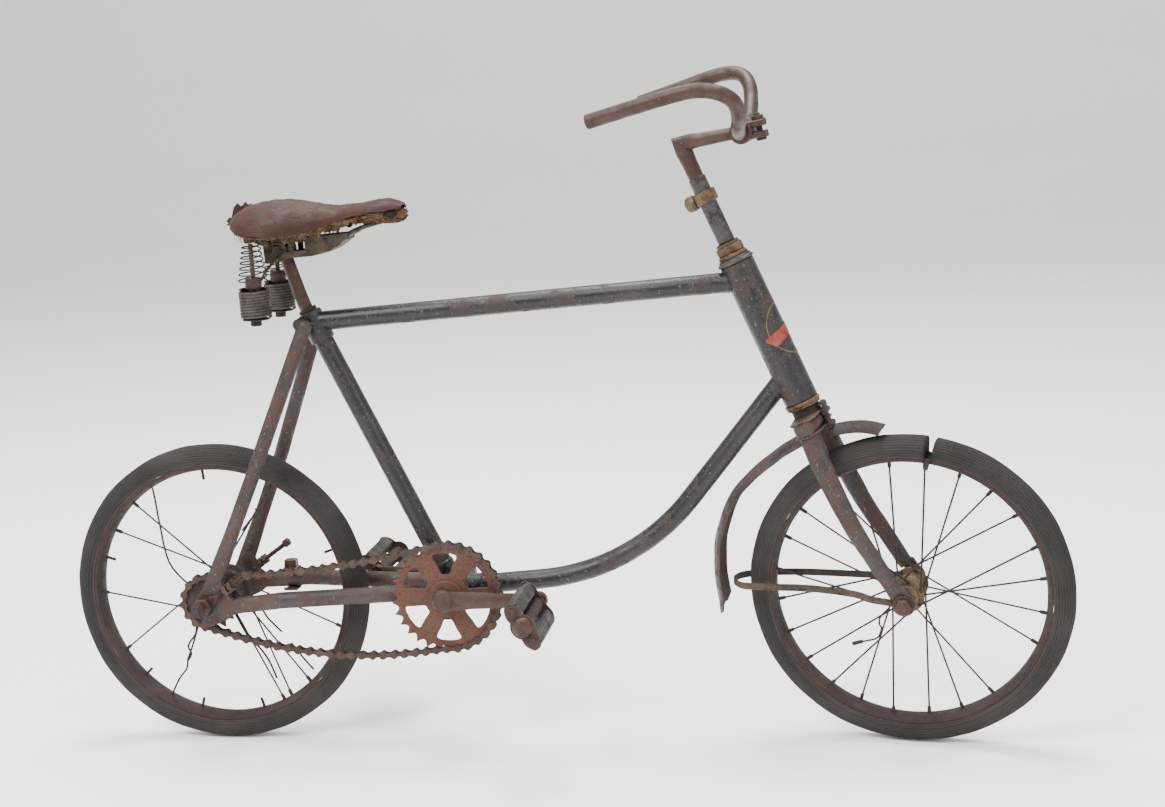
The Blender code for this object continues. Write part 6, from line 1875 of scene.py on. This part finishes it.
@dataclass
class Stem:
    """The L-shaped stem in its grey sleeve, the brass collar with its bolt, and the split clamp of the bar."""

    rise: float = 0.141
    sleeve_top: float = 0.101
    collar_rise: float = 0.078
    clamp_at: tuple = (0.63, 0.0, 0.686)
    leg: float = 0.0082

    def elbow(self) -> Form:
        """The L in one bar, mitred at its corner: nine tenths of the leg's depth over half the bend's cosine.

        Returns:
            The closed shape.
        """
        corner, clamp = on_head(-self.rise), np.array(self.clamp_at)
        ahead = unit(clamp - corner)
        half_bend = np.arccos(UP_THE_HEAD @ ahead) / 2
        path = [on_head(-self.sleeve_top + 0.0003), corner - UP_THE_HEAD * 0.024, corner - UP_THE_HEAD * 0.01, corner,
                corner + ahead * 0.01, corner + ahead * 0.024, clamp - ahead * 0.012, clamp]
        mitred = self.leg / cos(half_bend) * 0.9
        deep = np.array((self.leg, self.leg * 1.02, self.leg * 1.16, mitred, self.leg * 1.05, self.leg * 0.92, 0.0068,
                         0.007))
        wide = (self.leg, self.leg, self.leg, self.leg * 0.97, 0.0078, 0.0074, 0.0068, 0.0068)
        return swept(path, wide, deep, 28, power=2.3)

    def build(self) -> None:
        """Makes the sleeve, the stem and the collar."""
        sleeve = Piece("stem_sleeve_dressed", Station.STEM)
        sleeve.add(rod(on_head(-self.sleeve_top), on_head(-0.0243), 0.0095, 0.0008, 36), GREY_STEEL)
        sleeve.make("stem_sleeve")
        clamp = np.array(self.clamp_at)
        ahead = unit(clamp - on_head(-self.rise))
        lift = np.array((-ahead[2], 0, ahead[0]))
        stem = Piece("stem_dressed", Station.STEM)
        stem.add(self.elbow(), BROWN_RUST)
        shell = [(0.0082, -0.011), (0.0115, -0.011), (0.0125, -0.01), (0.0125, 0.01), (0.0115, 0.011),
                 (0.0082, 0.011)]
        stem.add(ring(shell, 44).placed(shift(clamp)), BROWN_RUST)
        for offset in (-0.0062, 0.0062):
            start = clamp + ahead * 0.006 + lift * offset
            ear = [start, start + ahead * 0.014, start + ahead * 0.0195]
            stem.add(swept(ear, (0.0085, 0.0085, 0.0066), 0.0036, 20, (0, 1, 0), 5.0), BROWN_RUST)
        bolt = clamp + ahead * 0.0185
        stem.add(rod(bolt - lift * 0.0125, bolt + lift * 0.0165, 0.0032, 0.0005, 18), DARK_RUST)
        stem.add(nut(bolt + lift * 0.0085, bolt + lift * 0.014, 0.0066), BROWN_RUST)
        stem.add(rod(bolt - lift * 0.0095, bolt - lift * 0.0125, 0.0058, 0.0012, 24), DARK_RUST)
        stem.make("stem")
        collar = Piece("stem_collar_dressed", Station.STEM)
        middle = -self.collar_rise
        band = [(0.0098, -0.0065), (0.0122, -0.0065), (0.0127, -0.0058), (0.0127, 0.0058), (0.0122, 0.0065),
                (0.0098, 0.0065)]
        collar.add(ring(band, 40).placed(facing(on_head(middle), on_head(middle + 1))), TARNISHED_BRASS)
        head = ((0.005, 0.0), (0.0082, 0.001), (0.0087, 0.0034), (0.0087, 0.009), (0.0078, 0.0116), (0.005, 0.0132),
                (0.0008, 0.0138))
        foot = on_head(middle + 0.001, -0.011)
        collar.add(turned(foot, foot - AHEAD_OF_HEAD, head, 32), TARNISHED_BRASS)
        collar.make("stem_collar")


@dataclass
class Handlebar:
    """The bar: out of the clamp to both sides, up, round and back to two bare open ends."""

    radius: float = 0.0079
    right: tuple = (
        (0.63, 0.013, 0.686), (0.634, 0.032, 0.692), (0.643, 0.058, 0.708), (0.644, 0.076, 0.724),
        (0.634, 0.087, 0.734), (0.615, 0.09, 0.7385), (0.59, 0.09, 0.736), (0.54, 0.09, 0.724),
        (0.489, 0.09, 0.711),
    )
    left: tuple = (
        (0.63, 0.013, 0.686), (0.629, 0.032, 0.695), (0.624, 0.058, 0.712), (0.618, 0.076, 0.727),
        (0.608, 0.087, 0.737), (0.594, 0.09, 0.7405), (0.57, 0.09, 0.737), (0.53, 0.09, 0.725),
        (0.485, 0.09, 0.712),
    )

    def build(self) -> None:
        """Makes the bar as one tube."""
        right = smooth_path(np.array(self.right)[::-1] * (1, -1, 1), 8)
        left = smooth_path(self.left, 8)
        form = pipe(np.vstack([right, left]), self.radius, 0.0012, 3)
        piece = Piece("handlebar_dressed", Station.STEM)
        piece.add(form, BROWN_RUST)
        piece.make("handlebar")


# Saddle


@dataclass
class Saddle:
    """The dried leather on its frame: cracked, curled at the nose, torn behind, over two pairs of coil springs."""

    leather: float = 0.0045
    spring_x: float = 0.083
    spring_y: float = 0.042
    bar_z: float = 0.592
    coil_low: float = 0.5045
    coil_high: float = 0.539
    coil_radius: float = 0.0175
    post: float = 0.0075
    post_top: tuple = (0.1075, 0.0, 0.574)
    stations: tuple = (
        # x, half width, height of the crown, height of the edges
        (0.056, 0.021, 0.614, 0.6085), (0.066, 0.044, 0.622, 0.603), (0.083, 0.062, 0.6285, 0.5985),
        (0.105, 0.07, 0.631, 0.5962), (0.125, 0.065, 0.63, 0.596), (0.145, 0.05, 0.6262, 0.5975),
        (0.17, 0.032, 0.6225, 0.605), (0.2, 0.0215, 0.624, 0.613), (0.23, 0.018, 0.6275, 0.6165),
        (0.248, 0.009, 0.6225, 0.6185),
    )

    def skin(self) -> np.ndarray:
        """The upper surface as a grid: across each station the height falls from the crown by a power of the share.

        Returns:
            The grid of points.
        """
        rows = smooth_path(self.stations, 9)
        x, half, crown, edge = (rows[:, k][:, None] for k in range(4))
        share = np.linspace(-1, 1, 61)[None, :]
        arch = np.sqrt(np.clip(1 - np.abs(share) ** 2.4, 0, 1))
        z = edge + (crown - edge) * arch
        points = np.stack([x + 0 * share, half * share, z], axis=-1)
        wrinkle = unevenness(points, 0.026, 1.0) * 0.0007 + unevenness(points, 0.009, 2.0) * 0.00025
        points[..., 2] += wrinkle - 0.0004
        hem = np.clip(np.abs(share) - 0.93, 0, 1) / 0.07
        points[..., 1] += np.sign(share) * hem * unevenness(points, 0.03, 3.0) * 0.0012
        return points

    def hide(self) -> None:
        """The leather top with its rivets, the curled nose lip and the torn flap behind."""
        piece = Piece("saddle_leather_dressed", Station.FRAME)
        surface = self.skin()
        piece.add(sheet(surface[:, ::-1], self.leather * 0.62), DRY_LEATHER)
        for x, y in ((0.232, 0.0), (0.1235, 0.0), (0.056, -0.028), (0.056, 0.028), (0.056, 0.0)):
            row = int(np.argmin(np.abs(surface[:, 30, 0] - x)))
            column = int(np.argmin(np.abs(surface[row, :, 1] - y)))
            foot = surface[row, column] - (0, 0, 0.0005)
            dome = ((0.006, 0.0), (0.0056, 0.0012), (0.0038, 0.0024), (0.001, 0.0028))
            piece.add(turned(foot, foot + (0, 0, 1), dome, 20), DARK_RUST)
        torn = ((0.0465, 0.612), (0.05, 0.6165), (0.0522, 0.615), (0.056, 0.627), (0.0605, 0.6318),
                (0.064, 0.6285), (0.0672, 0.6298), (0.072, 0.6253), (0.079, 0.62), (0.079, 0.608),
                (0.06, 0.603), (0.053, 0.6062), (0.049, 0.6085))
        for y, lean in ((-0.01, 0.06), (0.015, -0.1)):
            flap = plate(torn, y - 0.0014, y + 0.0014, edge=0.0005)
            piece.add(flap.placed(turn(lean, np.array((0.3, 0.0, 1.0)), np.array((0.06, y, 0.606)))), DRY_LEATHER)
        u, v = np.meshgrid(np.linspace(-1, 1, 40), np.linspace(0, 1, 12))
        curl = np.stack([0.057 + 0.02 * u**2 + 0.004 * v + 0.001 * np.sin(u * 11), 0.044 * u,
                         0.6085 - 0.012 * v * (0.75 + 0.25 * np.sin(u * 9 + 1))], axis=-1)
        piece.add(sheet(curl, 0.002), DRY_LEATHER)
        piece.make("saddle_leather")

    def padding(self) -> None:
        """The matted padding bared under the nose and along both skirts: a lumpy roll, ragged mats and hairs, and a
        near-black lens of painted shade in each tear by the nose.
        """
        piece = Piece("saddle_padding", Station.FRAME)
        rows = smooth_path(((0.148, 0.04, 0.6035, 0.0022), (0.17, 0.028, 0.6085, 0.0042),
                            (0.2, 0.0195, 0.611, 0.0072), (0.23, 0.017, 0.6108, 0.0086),
                            (0.244, 0.013, 0.612, 0.008), (0.251, 0.005, 0.6135, 0.004)), 9)
        roll = swept(np.column_stack([rows[:, 0], 0 * rows[:, 0], rows[:, 2]]), rows[:, 1], rows[:, 3], 72, power=2.4)
        lumps = unevenness(roll.points, 0.0075, 1.3) + 0.9 * unevenness(roll.points, 0.0038, 2.2)
        roll.points = roll.points + unit(roll.points - (0.2, 0.0, 0.6105)) * (lumps * 0.0025)[:, None]
        piece.add(roll, HORSEHAIR)
        for side in (-1, 1):
            # Painted shade: a small near-black lens on each side of the roll stands for the shadowed inside of a tear.
            hollow = [(0.229, side * 0.015, 0.6125), (0.235, side * 0.0158, 0.6128), (0.241, side * 0.0136, 0.613),
                      (0.2445, side * 0.0118, 0.6132)]
            piece.add(swept(hollow, 0.0022, (0.0012, 0.0042, 0.004, 0.001), 16, (0, 1, 0)), PAINTED_SHADE_HOLLOW)
            edge = np.array(((0.068, 0.045, 0.602), (0.085, 0.062, 0.5985), (0.11, 0.0675, 0.5965),
                             (0.14, 0.052, 0.598), (0.155, 0.041, 0.601), (0.175, 0.0285, 0.607),
                             (0.2, 0.0205, 0.612))) * (1, side, 1)
            line = smooth_path(edge, 8)
            count = np.arange(len(line))
            v = np.linspace(0, 1, 6)[:, None, None]
            drop = np.clip((line[:, 0] - 0.105) / 0.05, 0.3, 1.0) * (
                0.0068 + 0.0022 * np.sin(count * 1.9) + 0.002 * np.sin(count * 0.8))
            mat = line[None] - v * drop[None, :, None] * np.array((0, 0, 1)) - v * np.array((0, side * 0.002, 0))
            piece.add(sheet(mat, 0.0022 * side), HORSEHAIR)
            seeded = np.random.default_rng(7 + side)
            at = seeded.integers(0, len(line), 110)
            sways, lengths = seeded.normal(0, 0.0018, (110, 3)), seeded.uniform(0.005, 0.0105, 110)
            for foot, sway, length in zip(line[at], sways, lengths):
                tip = foot + sway - (0, 0, length)
                bow = (foot + tip) / 2 + sway * 0.7
                piece.add(swept([foot, bow, tip], (0.00035, 0.0003, 0.0001), sides=4, across=(0.8, 0.6, 0)), HORSEHAIR)
        piece.make()

    def springs(self, name: str, side: int) -> None:
        """One spring set: the tight coil in its cup, the rod through it, and the thin open coil above.

        Args:
            name: left or right.
            side: -1 on the chain's side, 1 on the other.
        """
        piece = Piece(f"{name}_saddle_spring_dressed", Station.FRAME)
        foot = np.array((self.spring_x, side * self.spring_y, 0.0))

        def at(z: float, lean: float = 0.0) -> np.ndarray:
            """A point of the spring's axis at this height."""
            return foot + (lean, 0, z)

        wire = 0.0017
        piece.add(coil(at(self.coil_low + wire, 0.0008), at(self.coil_high - wire), (self.coil_radius - wire,) * 2,
                       9.5, wire, tip=0.05), GREY_RUST)
        top = self.bar_z - 0.004
        piece.add(rod(at(self.coil_low - 0.006, 0.001), at(top), 0.0026, 0.0005, 16), OLIVE_IRON)
        piece.add(nut(at(self.coil_low - 0.001), at(self.coil_low - 0.008), 0.0062), DARK_RUST)
        piece.add(rod(at(self.coil_low - 0.0012), at(self.coil_low + 0.0004), 0.015, 0.0005, 36), DARK_RUST)
        cup = ((0.0088, 0.0), (0.0092, 0.0012), (0.0092, 0.0118), (0.0085, 0.013), (0.004, 0.013))
        piece.add(turned(at(self.coil_high - 0.001), at(self.coil_high + 1, 0.06), cup, 32), BROWN_RUST)
        piece.add(coil(at(self.coil_high + 0.005), at(top - 0.001, 0.0006), (0.0163, 0.0096), 7, 0.0008, 0.9, 0.17),
                  DARK_RUST)
        piece.make(f"{name}_saddle_spring")

    def frame(self) -> None:
        """The clamp casting on the post, the trough beam to the nose, the rear bar and its wire braces."""
        piece = Piece("saddle_frame_dressed", Station.FRAME)
        post_top = np.array(self.post_top)
        up = unit(post_top - SEAT_LUG)
        clamp = post_top + up * 0.004
        piece.add(rod(clamp - TO_THE_LEFT * 0.02, clamp + TO_THE_LEFT * 0.02, 0.01, 0.0012, 36), OLIVE_IRON)
        piece.add(rod(clamp - TO_THE_LEFT * 0.0215, clamp + TO_THE_LEFT * 0.0215, 0.0052, 0.0008, 20), DARK_RUST)
        piece.add(nut(clamp - TO_THE_LEFT * 0.0195, clamp - TO_THE_LEFT * 0.0235, 0.0058), OLIVE_IRON)
        cheek = ((0.0885, 0.588), (0.112, 0.59), (0.14, 0.5915), (0.187, 0.5945), (0.185, 0.587),
                 (0.167, 0.5755), (0.146, 0.57), (0.119, 0.5685), (0.1, 0.564), (0.09, 0.564))
        windows = (((0.1245, 0.5765), (0.1375, 0.577), (0.1375, 0.5865), (0.1245, 0.586)),
                   ((0.1105, 0.5755), (0.1185, 0.5757), (0.1185, 0.585), (0.1105, 0.5848)))
        for y in (-0.017, 0.017):
            piece.add(plate(cheek, y - 0.0014, y + 0.0014, windows, 0.0005), OLIVE_IRON)
        floor = smooth_path([(x, 0, z + 0.0012) for x, z in cheek[8:3:-1]], 6)
        piece.add(swept(floor, 0.017, 0.0012, 20, power=6.0), OLIVE_IRON)
        rows = smooth_path([(0.178, 0, 0.588), (0.2, 0, 0.5985), (0.233, 0, 0.606)], 8)
        piece.add(swept(rows, np.linspace(0.012, 0.0075, len(rows)), np.linspace(0.0035, 0.0018, len(rows)), 24,
                        power=4.0), OLIVE_IRON)
        bar = [(self.spring_x, y, self.bar_z) for y in (-0.052, -0.046, 0.046, 0.052)]
        piece.add(swept(bar, (0.0035, 0.006, 0.006, 0.0035), 0.0033, 24, (1, 0, 0), 3.0), BROWN_RUST)
        for side in (-1, 1):
            start, end = clamp + TO_THE_LEFT * side * 0.012, np.array((self.spring_x, side * 0.026, self.bar_z))
            piece.add(rod(start, end, 0.0042, 0.0006, 20), OLIVE_IRON)
            brace = smooth_path([clamp + (0.006, side * 0.016, -0.004), (0.098, side * 0.03, 0.56),
                                 (self.spring_x + 0.009, side * 0.04, self.coil_high + 0.0085)], 6)
            piece.add(swept(brace, 0.0016, sides=8, across=(0.5, 0.5, 0.7)), OLIVE_IRON)
        piece.make("saddle_frame")
        post = Piece("saddle_post_dressed", Station.FRAME)
        along = unit(SEAT_LUG - BRACKET)
        path = smooth_path([SEAT_LUG - along * 0.01, SEAT_LUG + along * 0.022, post_top], 6)
        post.add(swept(path, self.post, sides=28), BROWN_RUST)
        low, high = SEAT_LUG + along * 0.0125, SEAT_LUG + along * 0.0165
        post.add(rod(low, high, self.post + 0.003, 0.0006, 32), DARK_RUST)
        post.make("saddle_post")

    def build(self) -> None:
        """Makes the hide, its padding, both spring sets, the frame and the post."""
        self.hide()
        self.padding()
        self.springs("right", -1)
        self.springs("left", 1)
        self.frame()


# Studio


@dataclass
class Studio:
    """The pale floor, three soft lights and the camera where the picture was taken from."""

    floor_z: float = -0.631
    lens: float = 51.48
    camera_at: tuple = (0.60641, -1.81053, 0.07786)
    yaw: float = radians(9.0095)
    pitch: float = radians(9.7617)
    roll: float = radians(-2.7811)

    def camera(self) -> None:
        """The camera: forward from yaw and pitch, and its right and up turned about that by the roll."""
        forward = np.array((-cos(self.pitch) * sin(self.yaw), cos(self.pitch) * cos(self.yaw), -sin(self.pitch)))
        level = np.array((cos(self.yaw), sin(self.yaw), 0.0))
        over = np.cross(level, forward)
        right = cos(self.roll) * level + sin(self.roll) * over
        up = -sin(self.roll) * level + cos(self.roll) * over
        data = bpy.data.cameras.new("camera")
        data.lens, data.sensor_width, data.sensor_fit = self.lens, 36.0, "HORIZONTAL"
        made = bpy.data.objects.new("camera", data)
        matrix = np.eye(4)
        matrix[:3] = np.column_stack([right, up, -forward, self.camera_at])
        made.matrix_world = Matrix(matrix.tolist())
        bpy.context.scene.collection.objects.link(made)
        bpy.context.scene.camera = made

    def floor(self) -> None:
        """A wide flat floor that curves up far behind."""
        y = np.array((-8.0, -2.0, 2.0, 6.0, 7.0, 8.0, 8.6, 8.9, 9.0, 9.0))
        z = np.array((0.0, 0.0, 0.0, 0.0, 0.1, 0.45, 1.0, 1.8, 3.0, 9.0)) + self.floor_z
        x = np.linspace(-10, 10, 3)[:, None]
        surface = np.stack([x + 0 * y, y + 0 * x, z + 0 * x], axis=-1)
        mesh = bpy.data.meshes.new("floor")
        mesh.from_pydata(surface.reshape(-1, 3).tolist(), [], grid_quads(3, len(y), wrap_columns=False).tolist())
        mesh.materials.append(PALE_FLOOR.material())
        mesh.shade_smooth()
        made = bpy.data.objects.new("floor", mesh)
        bpy.context.scene.collection.objects.link(made)

    def light(self, name: str, at: tuple, aim: tuple, size: float, watts: float) -> None:
        """One large soft light at a place, aimed at a point.

        Args:
            name: its name.
            at: its place.
            aim: the point it looks at.
            size: its width.
            watts: its power.
        """
        data = bpy.data.lights.new(name, "AREA")
        data.shape, data.size, data.energy = "DISK", size, watts
        made = bpy.data.objects.new(name, data)
        made.location = at
        made.rotation_euler = (Vector(aim) - Vector(at)).to_track_quat("-Z", "Y").to_euler()
        bpy.context.scene.collection.objects.link(made)

    def build(self) -> None:
        """Sets the floor, the lights, the even sky and the camera."""
        self.floor()
        self.light("key", (-1.5, -2.4, 2.7), (0.25, 0, -0.2), 2.0, 250.0)
        self.light("fill", (2.8, -1.8, 1.6), (0.3, 0, -0.3), 1.8, 60.0)
        self.light("top", (0.2, 0.6, 3.2), (0.3, 0, -0.3), 2.2, 260.0)
        world = bpy.data.worlds.new("studio")
        world.use_nodes = True
        world.node_tree.nodes["Background"].inputs["Color"].default_value = (1.0, 1.0, 1.0, 1.0)
        world.node_tree.nodes["Background"].inputs["Strength"].default_value = 1.0
        bpy.context.scene.world = world
        self.camera()


def main() -> None:
    """Builds every sub-assembly in order."""
    logging.basicConfig(level=logging.INFO, format="%(name)s: %(message)s")
    Studio().build()
    for assembly in (
        FrontWheel(), RearWheel(), Frame(), RearFittings(), Chain(), RearSprocket(), Crankset(),
        Pedal("right", Station.RIGHT_PEDAL, -1), Pedal("left", Station.LEFT_PEDAL, 1),
        Head(), Fork(), Mudguards(), Stem(), Handlebar(), Saddle(),
    ):
        log.info("building %s", type(assembly).__name__)
        assembly.build()


if __name__ == "__main__":
    main()
